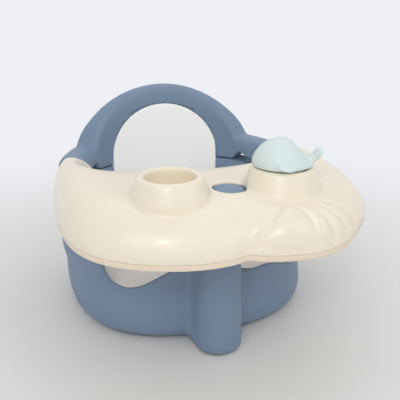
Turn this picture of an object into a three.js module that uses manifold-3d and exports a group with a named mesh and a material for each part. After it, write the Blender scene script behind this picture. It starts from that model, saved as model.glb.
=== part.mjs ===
import * as THREE from 'three';
import { mergeVertices } from 'three/addons/utils/BufferGeometryUtils.js';
import Module from 'manifold-3d';

const wasm = await Module();
wasm.setup();

// Baby bath seat, millimetres, +Z up, the child faces -Y.
// Every piece is placed from the upright axis of the round tub, on the bath floor.
// A bearing is an angle round that axis, in degrees: 0 is the front, 90 the child's left, 180 the back.

// Fits shared by all pieces
const restGap = 0.3;
const slideGap = 0.5;
const overrun = 10;
const wall = 3;
const weldDistance = 1e-4;
const sliverSize = 0.01;

// Tub
const tubHalfWidth = 145;
const tubHalfDepth = 134;
const tubSquareness = 2.4;
const floorGap = 1.5;
const panHeight = 57;
const seamHeight = 141;
const sideRimHeight = 100;
const ledgeRise = 6;
const ledgeCrestRise = 25;
const lowCrestRise = 12;
const ledgeHeight = panHeight + ledgeRise;
const ledgeCrestHeight = ledgeHeight + ledgeCrestRise;
const lowCrestHeight = ledgeHeight + lowCrestRise;
const rimWidth = 30;
const ledgeWidth = 7;
const rimRound = 5;
const floorRound = 22;
const bulgeLowHeight = 6;
const bulgeMidHeight = 14;
const bulgeTopHeight = 30;
const waistHeight = 61;
const lipHeight = 67;
const lipProud = 4;
const waistShare = 0.966;
const backSpreadShare = 0.022;

// Post between the child's legs, part of the tub
const postDrop = 4;
const postTopHeight = seamHeight - postDrop;
const postRadius = 26;
const postTopRadius = 20;
const postFloorRound = 8;
const postReach = 10;
const postCentre = tubHalfDepth + postReach;
const postLean = 9;
const postBlend = 12;
const postFlankSlope = 3;
const postBackWidth = 22;
const postRib = 2.5;

// Backrest: an arch with two arms, open below where it stands on the tub
const archRise = 80;
const archSpringRise = 24;
const archSpringHeight = seamHeight + archSpringRise;
const archTopHeight = archSpringHeight + archRise;
const archHalfWidth = 119;
const archTaper = 9;
const archEdgeRound = 10;
const armRise = 33;
const armTopHeight = seamHeight + armRise;
const armWidth = 34;
const armLift = 8;
const armUnderHeight = seamHeight + armLift;
const armEndY = -16;
const armProud = 1;
const slotHeight = 12;
const plugInset = 4.5;
const plugTopInset = 1.3;
const recessDepth = 5;

// Soft back pad and seat mat
const padHalfWidth = 73;
const padRise = 70;
const padSpringRise = 9;
const padSpringHeight = seamHeight + padSpringRise;
const padTopHeight = padSpringHeight + padRise;
const padProud = 1.5;
const padRound = 2;
const matThickness = 5.5;
const padFootGap = 3.2;
const padBottomHeight = panHeight + restGap + matThickness + padFootGap;

// Suction cups under the tub
const cupRadius = 24;
const cupLip = 3;
const cupHeight = 13;
const cupHollow = 5;
const cupNeckRadius = 7;
const cupNeckLength = 14;
const cupCollarRadius = 12;
const cupSideInset = 73;
const cupFrontInset = 76;
const cupBackInset = 70;
const cupX = tubHalfWidth - cupSideInset;
const cupFrontY = cupFrontInset - tubHalfDepth;
const cupBackY = tubHalfDepth - cupBackInset;

// Tray: a crescent on the two arms and the post
const traySideReach = 11.5;
const trayFrontReach = 78;
const leafAhead = 7;
const mouthY = 32;
const trayHalfWidth = tubHalfWidth + traySideReach;
const leafY = -(postCentre + postLean + leafAhead);
const trayFrontY = leafY - trayFrontReach;
const trayLength = mouthY - trayFrontY;
const traySeamRise = 4;
const trayDepth = 7;
const deckRise = 41;
const sleeveWall = 2;
const traySeamHeight = seamHeight + traySeamRise;
const trayFloorHeight = traySeamHeight - trayDepth;
const deckHeight = traySeamHeight + deckRise;
const sleeveHeight = armTopHeight + sleeveWall;
const frontRoll = 54;
const sideRoll = 24;
const bellyRoll = 30;
const rollSharpness = 2.3;
const deckFallStartY = -60;
const sideRollEndY = -110;
const frontRollInset = 33;
const frontRollStartY = trayFrontY + frontRollInset;
const floorStartY = -30;

// Two round sockets on the tray
const socketX = 55;
const socketAhead = 7;
const socketY = leafY - socketAhead;
const socketRise = 19;
const socketBaseRadius = 37.5;
const socketTopRadius = 31;
const socketBoreRadius = 23.5;
const socketRound = 3.5;
const socketSink = 4;
const socketTopHeight = deckHeight + socketRise;
const socketFloorHeight = deckHeight - socketSink;

// Scallop relief at one front corner of the tray
const scallopX = 40;
const scallopInset = 32;
const scallopY = trayFrontY + scallopInset;
const ribProud = 3.6;
const ribRecess = 1.6;
const ribSink = 5;
const ribEndInset = 2;

// Bearings of the scallop's grooves from its hinge: at the tray's edge, then at the hinge.
const grooveBearings = [[-54, -46], [35, 61], [58, 80], [81, 89], [93, 95]];

// Release button in the head of the post
const leafX = 4;
const leafHalfWidth = 16;
const leafHalfDepth = 13.8;
const leafTurn = -48;
const leafGap = 0.8;
const headHalfWidth = 19;
const headHalfDepth = 16.5;
const buttonDepth = 13;
const buttonCrown = 1.6;
const buttonDrop = 1.2;
const buttonTravel = 4;
const buttonStemRadius = 3;
const buttonStemLength = 12;
const springRadius = 5.2;
const springWireRadius = 0.6;
const springTurns = 4;
const springStepsPerTurn = 9;
const springLength = 15;

// Toy whale and the turntable under it
const tableRadius = 22.5;
const tableThickness = 4;
const tablePinRadius = 4;
const keyHalfWidth = 3;
const keyLength = 44;
const keyHeight = 3;
const whaleHalfLength = 30;
const whaleHalfWidth = 28;
const whaleHeight = 26.5;
const whaleWall = 2.5;
const whaleYaw = -16;
const whalePlugRadius = 21.5;
const flukeReach = 36;
const flukeHeight = 14.5;
const flukeHalfSpan = 10;
const flukeThickness = 2.6;
const flukeNotch = 2.5;
const tailStart = 12;
const tailHalfWidth = 9;
const tailRadius = 6.5;
const flipperLength = 8;
const flipperWidth = 3.6;
const flipperThickness = 1.8;

// Screws
const screwRadius = 1.6;
const screwHeadRadius = 3.4;
const screwHeadHeight = 2.2;
const screwLength = 14;
const tableScrewLength = 9;
const bossRadius = 5;
const screwPlay = 0.3;

// Smoothness of round shapes
const roundSegments = 24;
const smallSegments = 10;

const cream = { color: 0xefe9d7, roughness: 0.35, metalness: 0 };
const blue = { color: 0x8297b0, roughness: 0.55, metalness: 0 };
const white = { color: 0xefefef, roughness: 0.8, metalness: 0 };
const mint = { color: 0xd5ecea, roughness: 0.5, metalness: 0 };
const rubber = { color: 0xc9ced3, roughness: 0.6, metalness: 0 };
const steel = { color: 0xb9bcc0, roughness: 0.3, metalness: 1 };

const root = new THREE.Group();

const radians = THREE.MathUtils.degToRad;
const clamp = THREE.MathUtils.clamp;
const lerp = THREE.MathUtils.lerp;
const smoothstep = THREE.MathUtils.smoothstep;

// Solid helpers

function positionsOnly(geometry) {
  const bare = geometry.clone();
  bare.deleteAttribute('normal');
  bare.deleteAttribute('uv');
  return mergeVertices(bare, weldDistance);
}

function solid(geometry) {
  const merged = positionsOnly(geometry);
  const vertProperties = new Float32Array(merged.attributes.position.array);
  const triVerts = new Uint32Array(merged.index.array);
  const made = new wasm.Manifold(new wasm.Mesh({ numProp: 3, vertProperties, triVerts }));
  if (made.volume() >= 0) return made;
  const turned = triVerts.slice().reverse();
  return new wasm.Manifold(new wasm.Mesh({ numProp: 3, vertProperties, triVerts: turned }));
}

function toGeometry(manifold) {
  const mesh = manifold.getMesh();
  const geometry = new THREE.BufferGeometry();
  geometry.setAttribute('position', new THREE.BufferAttribute(mesh.vertProperties, 3));
  geometry.setIndex(new THREE.BufferAttribute(mesh.triVerts, 1));
  geometry.computeVertexNormals();
  return geometry;
}

function addPiece(name, manifold, finish) {
  const mesh = new THREE.Mesh(toGeometry(manifold), new THREE.MeshStandardMaterial(finish));
  mesh.name = name;
  root.add(mesh);
}

// A closed body through rings of equally many points, capped at its first and last ring.
function lofted(rings) {
  const count = rings[0].length;
  const points = rings.flat();
  const faces = [];
  for (let r = 0; r + 1 < rings.length; r += 1) {
    for (let k = 0; k < count; k += 1) {
      const a = r * count + k;
      const b = r * count + (k + 1) % count;
      faces.push(a, b, b + count, a, b + count, a + count);
    }
  }
  for (const [ring, flipped] of [[0, true], [rings.length - 1, false]]) {
    const centre = new THREE.Vector3();
    rings[ring].forEach((p) => centre.add(p));
    points.push(centre.divideScalar(count));
    for (let k = 0; k < count; k += 1) {
      const a = ring * count + k;
      const b = ring * count + (k + 1) % count;
      faces.push(...(flipped ? [b, a, points.length - 1] : [a, b, points.length - 1]));
    }
  }
  const geometry = new THREE.BufferGeometry().setFromPoints(points);
  geometry.setIndex(faces);
  return solid(geometry);
}

function moved(manifold, x, y, z) {
  return manifold.translate([x, y, z]);
}

function upright(radius, bottom, top, segments = roundSegments, topRadius = radius) {
  const geometry = new THREE.CylinderGeometry(topRadius, radius, top - bottom, segments);
  geometry.rotateX(Math.PI / 2);
  geometry.translate(0, 0, (top + bottom) / 2);
  return solid(geometry);
}

function box(x0, x1, y0, y1, z0, z1) {
  const geometry = new THREE.BoxGeometry(x1 - x0, y1 - y0, z1 - z0);
  geometry.translate((x0 + x1) / 2, (y0 + y1) / 2, (z0 + z1) / 2);
  return solid(geometry);
}

function turned(profile, segments = roundSegments) {
  const geometry = new THREE.LatheGeometry(profile.map(([r, z]) => new THREE.Vector2(r, z)), segments);
  geometry.rotateX(Math.PI / 2);
  return solid(geometry);
}

function ellipsoid(rx, ry, rz, segments = roundSegments) {
  const geometry = new THREE.SphereGeometry(1, segments, segments / 2);
  geometry.rotateX(Math.PI / 2);
  geometry.scale(rx, ry, rz);
  return solid(geometry);
}

// Shape of the tub

function polar(bearing, radius, height) {
  const angle = radians(bearing);
  return new THREE.Vector3(radius * Math.sin(angle), -radius * Math.cos(angle), height);
}

function squareRadius(bearing) {
  const across = Math.abs(Math.sin(radians(bearing))) / tubHalfWidth;
  const along = Math.abs(Math.cos(radians(bearing))) / tubHalfDepth;
  const radius = (across ** tubSquareness + along ** tubSquareness) ** (-1 / tubSquareness);
  return radius * (1 + backSpreadShare * smoothstep(Math.abs(bearing), 72, 105));
}

// Rim heights at bearings from the front, eased from one to the next. The crest beside the post
// is lower on the child's left than on the right.
const rimStations = (crest) => [
  [0, postTopHeight], [7.5, postTopHeight], ...crest,
  [46, ledgeHeight + rimRound / 2], [50.5, ledgeHeight + rimRound * 2],
  [53.5, sideRimHeight - rimRound], [58, sideRimHeight],
  [113, sideRimHeight], [122, seamHeight], [180, seamHeight],
];
const rightRim = rimStations([[16, ledgeCrestHeight], [40, ledgeHeight]]);
const leftRim = rimStations([[13, lowCrestHeight], [29, lowCrestHeight], [43, ledgeHeight]]);

function eased(stations, value) {
  const last = stations.findIndex(([at]) => at >= value);
  if (last <= 0) return stations[0][1];
  const [low, from] = stations[last - 1];
  const [high, to] = stations[last];
  return lerp(from, to, smoothstep(value, low, high));
}

function rimHeightAt(bearing) {
  return eased(bearing > 0 ? leftRim : rightRim, Math.abs(bearing));
}

function rimWidthAt(bearing) {
  const side = Math.abs(bearing);
  const ledge = smoothstep(side, 15, 20) * (1 - smoothstep(side, 54, 64));
  const thick = lerp(postBackWidth, rimWidth, smoothstep(side, 14, 40));
  return lerp(thick, ledgeWidth, ledge);
}

// Distance of the post's front from the axis. Past its side the flank falls away steeply.
function postRadiusAt(bearing, height) {
  const side = radians(Math.abs(bearing));
  const radius = lerp(postRadius, postTopRadius, smoothstep(height, bulgeTopHeight / 2, seamHeight));
  const centre = postCentre + postLean * smoothstep(height, bulgeTopHeight, postTopHeight);
  const offset = centre * Math.sin(side);
  if (side > Math.PI / 2) return 0;
  if (offset > radius) return centre * Math.cos(side) - (offset - radius) * postFlankSlope;
  return centre * Math.cos(side) + Math.sqrt(radius ** 2 - offset ** 2);
}

// The greater of two lengths, with a hollow blend where they are nearly equal.
function softMax(a, b, blend) {
  const near = Math.max(blend - Math.abs(a - b), 0) / blend;
  return Math.max(a, b) + (near ** 2 * blend) / 4;
}

// How far the rounded under-edge draws the wall in.
function undercut(height, round) {
  const rise = clamp((round - height) / round, 0, 1);
  return round * (1 - Math.sqrt(1 - rise ** 2));
}

function outerRadiusAt(bearing, height) {
  const side = smoothstep(Math.abs(bearing), 66, 88);
  const waist = lerp(1, lerp(waistShare, 1, side), smoothstep(height, bulgeTopHeight, waistHeight));
  const lip = lipProud * side * smoothstep(height, waistHeight, lipHeight);
  const tub = squareRadius(bearing) * waist + lip - undercut(height, floorRound);
  const post = postRadiusAt(bearing, height) - undercut(height, postFloorRound);
  return softMax(tub, post, postBlend);
}

function innerRadiusAt(bearing) {
  return squareRadius(bearing) - rimWidthAt(bearing);
}

function innerWallAt(bearing) {
  return wall + recessDepth * smoothstep(Math.abs(bearing), 130, 136);
}

const halfBearings = [
  0, 3, 5.5, 7.5, 9, 10.5, 12.5, 15, 18.5, 22, 28, 34, 40, 46, 50.5, 53.5, 58, 66, 75, 82, 91, 102, 113,
  117.5, 122, 130, 136, 147, 163, 180,
];

function bothSides(half) {
  const left = half.filter((b) => b > 0 && b < 180).map((b) => -b).reverse();
  return [...left, ...half];
}

// One station of the tub's skin: how far out and how high it is at a bearing.
const tubStations = [
  (b) => [innerRadiusAt(b) * 0.35, panHeight],
  (b) => [innerRadiusAt(b) * 0.8, panHeight],
  (b) => [innerRadiusAt(b) - rimRound, panHeight],
  (b) => [innerRadiusAt(b), panEdgeTop(b)],
  (b) => [innerRadiusAt(b), rimFall(b)],
  (b) => [innerRadiusAt(b) + rimEdge(b), rimHeightAt(b)],
  (b) => [outerRadiusAt(b, rimFall(b)) - rimEdge(b), rimHeightAt(b)],
  (b) => [outerRadiusAt(b, rimFall(b)), rimFall(b)],
  (b) => [outerRadiusAt(b, lipTop(b)), lipTop(b)],
  (b) => [outerRadiusAt(b, lipLow(b)), lipLow(b)],
  (b) => [outerRadiusAt(b, bulgeTopHeight), bulgeTopHeight],
  (b) => [outerRadiusAt(b, bulgeMidHeight), bulgeMidHeight],
  (b) => [outerRadiusAt(b, bulgeLowHeight), bulgeLowHeight],
  (b) => [outerRadiusAt(b, floorGap), floorGap],
  (b) => [outerRadiusAt(b, floorGap) - wall, floorGap],
  (b) => [outerRadiusAt(b, bulgeLowHeight) - wall, bulgeLowHeight + wall / 2],
  (b) => [outerRadiusAt(b, bulgeTopHeight) - wall, bulgeTopHeight],
  (b) => [outerRadiusAt(b, lipLow(b)) - wall, lipLow(b) - wall],
  (b) => [outerRadiusAt(b, rimFall(b)) - wall, Math.max(hollowTop(b), lipLow(b) - wall / 2)],
  (b) => [hollowInside(b), Math.max(hollowTop(b), lipLow(b) - wall / 2)],
  (b) => [hollowInside(b), panHeight - wall],
  (b) => [innerRadiusAt(b) * 0.8, panHeight - wall],
  (b) => [innerRadiusAt(b) * 0.35, panHeight - wall],
];

function rimEdge(bearing) {
  return Math.min(rimRound, rimWidthAt(bearing) * 0.4);
}

function rimFall(bearing) {
  return rimHeightAt(bearing) - rimEdge(bearing);
}

// Where the rounded corner between the pan and the wall ends.
function panEdgeTop(bearing) {
  return Math.min(panHeight + rimRound, rimFall(bearing) - rimRound * 0.02);
}

function lipTop(bearing) {
  return Math.min(lipHeight, lerp(bulgeTopHeight, rimFall(bearing), 0.92));
}

function lipLow(bearing) {
  return Math.min(waistHeight, lerp(bulgeTopHeight, rimFall(bearing), 0.8));
}

function hollowInside(bearing) {
  const inner = innerRadiusAt(bearing) + innerWallAt(bearing);
  const outer = outerRadiusAt(bearing, rimFall(bearing)) - wall;
  return Math.min(inner, outer - wall / 2);
}

function hollowTop(bearing) {
  const open = smoothstep(rimWidthAt(bearing), wall * 3, wall * 6);
  return lerp(panHeight - wall, rimHeightAt(bearing) - wall, open);
}

function tubSkin() {
  const bearings = bothSides(halfBearings);
  return lofted(tubStations.map((station) => bearings.map((b) => polar(b, ...station(b)))));
}

// Shape of the backrest, by bearing

function armInnerRadius(bearing) {
  const side = Math.abs(bearing);
  return squareRadius(bearing) - lerp(armWidth, rimWidth, smoothstep(side, 120, 135));
}

function archTopAt(bearing) {
  const across = squareRadius(bearing) * Math.sin(radians(Math.abs(bearing)));
  const inside = clamp(1 - (across / archHalfWidth) ** 2, 0, 1);
  const arch = archSpringHeight + (archTopHeight - archSpringHeight) * Math.sqrt(inside);
  return Math.abs(bearing) > 120 ? Math.max(arch, armTopHeight) : armTopHeight;
}

const plugBearing = 180 - THREE.MathUtils.radToDeg(Math.acos(mouthY / squareRadius(102)));
const armEndBearing = 180 - THREE.MathUtils.radToDeg(Math.acos(armEndY / squareRadius(84)));
const plugBearings = [armEndBearing, 88, 93, 98, plugBearing];

function archUnderAt(bearing) {
  const open = 1 - smoothstep(Math.abs(bearing), 126, 131);
  const lift = armUnderHeight + (slotHeight - (armUnderHeight - seamHeight))
    * smoothstep(Math.abs(bearing), 116, 126);
  return lerp(seamHeight + restGap, lift, open);
}

function archSection(bearing, inset, plug) {
  const sideInset = inset + (plug ? plugInset : 0);
  const inner = armInnerRadius(bearing) + sideInset
    + (inset > 0 ? recessDepth * smoothstep(Math.abs(bearing), 130, 136) : 0);
  const proud = lerp(armProud, lipProud, smoothstep(Math.abs(bearing), 115, 129));
  const outer = squareRadius(bearing) + proud - sideInset;
  const top = archTopAt(bearing) - inset - (plug ? plugTopInset : 0);
  const standsOnTub = Math.abs(bearing) > 129;
  const under = inset > 0 && standsOnTub ? seamHeight - overrun : archUnderAt(bearing) + inset;
  const rise = clamp((top - seamHeight) / (archTopHeight - seamHeight), 0, 1);
  const back = outer - archTaper * rise * smoothstep(Math.abs(bearing), 128, 140);
  const round = Math.min(archEdgeRound, (back - inner) * 0.42, (top - under) * 0.45);
  const soft = round * 0.3;
  return [
    [inner, under], [inner, top - round], [inner + soft, top - soft], [inner + round, top],
    [back - round, top], [back - soft, top - soft], [back, top - round], [outer, under],
  ].map(([radius, height]) => polar(bearing, radius, height));
}

const archHalf = [
  129.5, 131, 133, 135, 138, 142, 147, 153, 160, 167, 174, 180,
];
const armHalf = [116, 121, 124, 126, 127.5];

function archSections(inset) {
  const end = THREE.MathUtils.radToDeg(inset / squareRadius(armEndBearing));
  const plug = plugBearings.map((b, i) => (i === 0 ? b + end : b));
  const arm = [plugBearing + 1.4, 107, 111, ...armHalf, ...archHalf];
  const half = [...plug.map((b) => [b, true]), ...arm.map((b) => [b, false])];
  const other = half.filter(([b]) => b < 180).map(([b, p]) => [360 - b, p]).reverse();
  return [...half, ...other].map(([b, p]) => archSection(foldBearing(b), inset, p));
}

function foldBearing(bearing) {
  return bearing > 180 ? bearing - 360 : bearing;
}

function padTopAt(bearing, grown) {
  const across = innerRadiusAt(bearing) * Math.sin(radians(180 - Math.abs(bearing)));
  const inside = clamp(1 - (across / (padHalfWidth + grown)) ** 2, 0, 1);
  return padSpringHeight + (padTopHeight + grown - padSpringHeight) * Math.sqrt(inside);
}

// The pad follows the inside of the backrest; grown is the play of its recess.
function padBody(grown) {
  const edge = THREE.MathUtils.radToDeg(Math.asin((padHalfWidth + grown) / innerRadiusAt(141)));
  const shares = [0, 0.03, 0.08, 0.15, 0.25, 0.4, 0.6, 0.8, 1];
  const half = shares.map((share) => 180 - edge * (1 - share));
  const bearings = [...half, ...half.slice(0, -1).reverse().map((b) => 360 - b)];
  return lofted(bearings.map((b) => {
    const bearing = foldBearing(b);
    const front = innerRadiusAt(bearing) - padProud - grown * 4;
    const back = innerRadiusAt(bearing) + recessDepth - restGap + grown;
    const low = padBottomHeight - grown;
    const top = padTopAt(bearing, grown);
    return [
      polar(bearing, back, low), polar(bearing, front + padRound, low),
      polar(bearing, front, low + padRound), polar(bearing, front, top - padRound),
      polar(bearing, front + padRound, top), polar(bearing, back, top),
    ];
  }));
}

// Shape of the tray: stations round the crescent, as shares of its half width and length.
// Each holds the outer edge, then the edge at the child's belly.
const trayStationShares = [
  [-0.939, 0, -0.664, 0.052], [-0.984, 0.148, -0.684, 0.111], [-1, 0.304, -0.671, 0.207],
  [-0.997, 0.47, -0.62, 0.274], [-0.962, 0.648, -0.537, 0.307], [-0.875, 0.785, -0.447, 0.328],
  [-0.716, 0.885, -0.345, 0.344], [-0.479, 0.952, -0.23, 0.359], [-0.243, 0.978, -0.115, 0.368],
  [-0.077, 0.969, -0.038, 0.37], [0, 0.954, 0, 0.37], [0.083, 0.974, 0.038, 0.37],
  [0.268, 1, 0.121, 0.367], [0.46, 0.993, 0.224, 0.359], [0.639, 0.948, 0.32, 0.348],
  [0.799, 0.87, 0.409, 0.335], [0.914, 0.785, 0.486, 0.32], [0.949, 0.741, 0.537, 0.307],
  [0.984, 0.656, 0.575, 0.294], [1, 0.489, 0.626, 0.27], [1, 0.304, 0.671, 0.207],
  [0.984, 0.148, 0.684, 0.111], [0.939, 0, 0.664, 0.052],
];

function trayPoint(xShare, yShare) {
  return new THREE.Vector3(xShare * trayHalfWidth, mouthY - yShare * trayLength, 0);
}

const stepsPerStation = 2;
const traySteps = (trayStationShares.length - 1) * stepsPerStation;
const outerCurve = new THREE.CatmullRomCurve3(trayStationShares.map(([x, y]) => trayPoint(x, y)));
const bellyCurve = new THREE.CatmullRomCurve3(
  trayStationShares.map((station) => trayPoint(station[2], station[3])),
);

function curvePoints(curve) {
  return Array.from({ length: traySteps + 1 }, (_, i) => curve.getPoint(i / traySteps));
}

const outerEdge = curvePoints(outerCurve);
const bellyEdge = curvePoints(bellyCurve);

function distanceTo(edge, x, y) {
  const point = new THREE.Vector3(x, y, 0);
  const nearest = new THREE.Vector3();
  const line = new THREE.Line3();
  return Math.min(...edge.slice(1).map((end, i) => {
    line.set(edge[i], end).closestPointToPoint(point, true, nearest);
    return nearest.distanceTo(point);
  }));
}

function edgeRoll(distance, width) {
  const inward = clamp(distance / width, 0, 1);
  return (1 - (1 - inward) ** rollSharpness) ** (1 / rollSharpness);
}

function trayTopAt(x, y) {
  const front = smoothstep(-y, -sideRollEndY, -frontRollStartY);
  const outer = edgeRoll(distanceTo(outerEdge, x, y), lerp(sideRoll, frontRoll, front));
  const belly = edgeRoll(distanceTo(bellyEdge, x, y), bellyRoll);
  const deck = lerp(deckHeight, sleeveHeight, smoothstep(y, deckFallStartY, mouthY));
  return traySeamHeight + (deck - traySeamHeight) * Math.min(outer, belly);
}

const acrossShares = [0, 0.03, 0.09, 0.2, 0.4, 0.58, 0.72, 0.84, 0.92, 0.975, 1];

// Stations of the crescent from first to last, drawn in by inset, with its top lowered by as much.
function trayBody(inset, under) {
  return lofted(outerEdge.map((outer, i) => {
    const belly = bellyEdge[i];
    const width = outer.distanceTo(belly);
    const inward = outer.clone().sub(belly).divideScalar(width);
    const end = inset * endShare(i);
    const from = belly.clone().addScaledVector(inward, inset);
    const to = outer.clone().addScaledVector(inward, -inset);
    const top = acrossShares.map((share) => {
      const p = from.clone().lerp(to, share);
      const height = trayTopAt(p.x, p.y) - inset;
      return new THREE.Vector3(p.x, p.y - end, Math.max(height, under + overrun / 2));
    });
    const below = [to, from].map((p) => new THREE.Vector3(p.x, p.y - end, under));
    return [...top, ...below];
  }));
}

function endShare(index) {
  return index === 0 || index === traySteps ? 1 : 0;
}

function frustum(x) {
  const rim = socketTopHeight - socketRound;
  const flare = (socketBaseRadius - socketTopRadius) * (overrun / (rim - deckHeight));
  const profile = [
    [0, deckHeight - overrun], [socketBaseRadius + flare, deckHeight - overrun],
    [socketBaseRadius, deckHeight], [socketTopRadius, rim],
    [socketTopRadius - socketRound * 0.3, socketTopHeight - socketRound * 0.3],
    [socketTopRadius - socketRound, socketTopHeight], [0, socketTopHeight],
  ];
  return moved(turned(profile), x, socketY, 0);
}

function frustumHollow(x) {
  const low = traySeamHeight;
  const profile = [
    [0, low], [socketBaseRadius - wall * 1.5, low],
    [socketBaseRadius - wall * 1.5, deckHeight - wall * 1.5],
    [socketTopRadius - wall, socketTopHeight - wall - socketRound],
    [0, socketTopHeight - wall - socketRound],
  ];
  return moved(turned(profile), x, socketY, 0);
}

function socketCup(x) {
  const cup = upright(socketBoreRadius + wall, socketFloorHeight - wall, socketTopHeight - socketRound);
  return moved(cup, x, socketY, 0);
}

function socketBore(x) {
  return moved(upright(socketBoreRadius, socketFloorHeight, socketTopHeight + overrun), x, socketY, 0);
}

// A pointed oval, the leaf shape of the button and of the hole it shows through.
function leafPrism(grown, bottom, top) {
  const halfWidth = leafHalfWidth + grown;
  const halfDepth = leafHalfDepth + grown;
  const radius = (halfWidth ** 2 + halfDepth ** 2) / (2 * halfDepth);
  const arc = upright(radius, bottom, top, roundSegments * 3);
  const leaf = moved(arc, 0, radius - halfDepth, 0).intersect(moved(arc, 0, halfDepth - radius, 0));
  return moved(leaf.rotate([0, 0, leafTurn]), leafX, leafY, 0);
}

function oval(halfWidth, halfDepth, bottom, top) {
  const geometry = new THREE.CylinderGeometry(1, 1, top - bottom, roundSegments);
  geometry.rotateX(Math.PI / 2);
  geometry.scale(halfWidth, halfDepth, 1);
  geometry.translate(leafX, leafY, (top + bottom) / 2);
  return solid(geometry);
}

// How far the tray reaches from the scallop's hinge in a direction.
function scallopReach(hinge, direction) {
  const step = ribEndInset / 3;
  let reach = step;
  const probe = hinge.clone();
  while (distanceTo(outerEdge, probe.x, probe.y) > ribEndInset) {
    probe.copy(hinge).addScaledVector(direction, reach);
    reach += step;
  }
  return reach - step;
}

function traySurface(x, y) {
  const near = ribEndInset / 4;
  const slopeX = trayTopAt(x + near, y) - trayTopAt(x - near, y);
  const slopeY = trayTopAt(x, y + near) - trayTopAt(x, y - near);
  const point = new THREE.Vector3(x, y, trayTopAt(x, y));
  const normal = new THREE.Vector3(-slopeX / (2 * near), -slopeY / (2 * near), 1).normalize();
  return { point, normal };
}

// A fan round the scallop's hinge from one bearing of its grooves to the next, on the tray's surface.
function fan(columns, rowShares, heightAt, sinkAt) {
  const hinge = new THREE.Vector3(scallopX, scallopY, 0);
  return lofted(columns.map(([edgeBearing, hingeBearing, across]) => {
    const rows = rowShares.map((share) => {
      const direction = polar(lerp(hingeBearing, edgeBearing, share), 1, 0);
      const at = hinge.clone().addScaledVector(direction, scallopReach(hinge, direction) * share);
      const { point, normal } = traySurface(at.x, at.y);
      const lift = (height) => point.clone().addScaledVector(normal, height);
      return { top: lift(heightAt(across, share)), under: lift(sinkAt(across, share)) };
    });
    return [...rows.map((row) => row.top), ...rows.map((row) => row.under).reverse()];
  }));
}

const fanRows = [0.06, 0.17, 0.29, 0.41, 0.53, 0.65, 0.76, 0.86, 0.94, 1];

// How high the scallop stands over the tray's surface, across one rib and out along it.
function ribHeight(across, share) {
  const round = (1 - Math.abs(2 * across - 1) ** 2.4) ** 0.6;
  const crest = ribProud * smoothstep(share, -0.1, 0.4) * (1 - share ** 4);
  const groove = ribRecess * (1 - share ** 6);
  return (groove + crest) * round - groove - restGap * share ** 6;
}

function scallop() {
  const columns = grooveBearings.slice(1).flatMap(([edge, hinge], i) => {
    const [edgeBefore, hingeBefore] = grooveBearings[i];
    const steps = i === 0 ? 8 : 6;
    return Array.from({ length: steps + 1 }, (_, k) => {
      const across = k / steps;
      return [lerp(edgeBefore, edge, across), lerp(hingeBefore, hinge, across), across];
    }).slice(i === 0 ? 0 : 1);
  });
  return fan(columns, fanRows, ribHeight, () => -ribSink);
}

// The soft groove round the scallop that the tray's own surface falls into.
function scallopRecess() {
  const [first, last] = [grooveBearings[0], grooveBearings[grooveBearings.length - 1]];
  const columns = [
    [first[0] - 16, first[1] - 16, 1], [...first, 0],
    ...grooveBearings.slice(1, -1).map((pair) => [...pair, 0]),
    [...last, 0], [last[0] + 12, last[1] + 12, 1],
  ];
  return fan(columns, [0, ...fanRows], () => ribProud + ribRecess,
    (raised, share) => lerp(-ribRecess - restGap, ribRecess, Math.max(raised, 0.6 * share ** 6)));
}

// Screws

function screw(x, y, headZ, length) {
  const shank = upright(screwRadius, headZ - restGap, headZ + length, smallSegments);
  const cap = upright(screwHeadRadius, headZ - screwHeadHeight, headZ, smallSegments);
  return moved(shank.add(cap), x, y, 0);
}

function screwBore(x, y, bottom, top) {
  return moved(upright(screwRadius + screwPlay, bottom, top, smallSegments), x, y, 0);
}

function joined(solids) {
  return solids.reduce((all, one) => all.add(one));
}

// The pieces

const cupPlaces = {
  front_left: [-cupX, cupFrontY],
  front_right: [cupX, cupFrontY],
  back_left: [-cupX, cupBackY],
  back_right: [cupX, cupBackY],
};
const backScrewBearings = [-162, -138, 138, 162];
const backScrewPlaces = backScrewBearings.map((b) => {
  const p = polar(b, squareRadius(b) - wall - bossRadius - wall, 0);
  return [p.x, p.y];
});
const headScrewPlaces = [-1, 1].map((side) => [side * headHalfWidth * 0.45, leafY + bossRadius]);
const trayScrewPlaces = [
  [-trayHalfWidth * 0.8, socketY + trayLength * 0.15],
  [trayHalfWidth * 0.8, socketY + trayLength * 0.15],
  [-trayHalfWidth * 0.62, socketY - trayLength * 0.1],
  [trayHalfWidth * 0.66, socketY - trayLength * 0.1],
  [-trayHalfWidth * 0.25, leafY + trayLength * 0.26], [trayHalfWidth * 0.25, leafY + trayLength * 0.26],
];

function makeTub() {
  const cupSeat = cupHeight + restGap;
  let tub = tubSkin();
  for (const [x, y] of Object.values(cupPlaces)) {
    tub = tub.add(moved(upright(cupCollarRadius, cupSeat, panHeight - wall / 2), x, y, 0));
    tub = tub.subtract(moved(upright(cupNeckRadius + restGap, 0, cupSeat + cupNeckLength), x, y, 0));
  }
  const ribBack = -innerRadiusAt(0) - wall / 2;
  const rib = box(-postRib / 2, postRib / 2, -postCentre - postRadius + wall / 2, ribBack, waistHeight,
    postTopHeight - wall / 2);
  tub = tub.add(rib.subtract(oval(headHalfWidth, headHalfDepth, postTopHeight - wall * 4, postTopHeight)));
  for (const [x, y] of backScrewPlaces) {
    tub = tub.subtract(screwBore(x, y, seamHeight - wall * 2, seamHeight + overrun));
  }
  for (const [x, y] of headScrewPlaces) {
    tub = tub.subtract(screwBore(x, y, postTopHeight - wall * 2, postTopHeight + overrun));
  }
  addPiece('lower_tub', tub.subtract(padBody(restGap)), blue);
}

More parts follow.
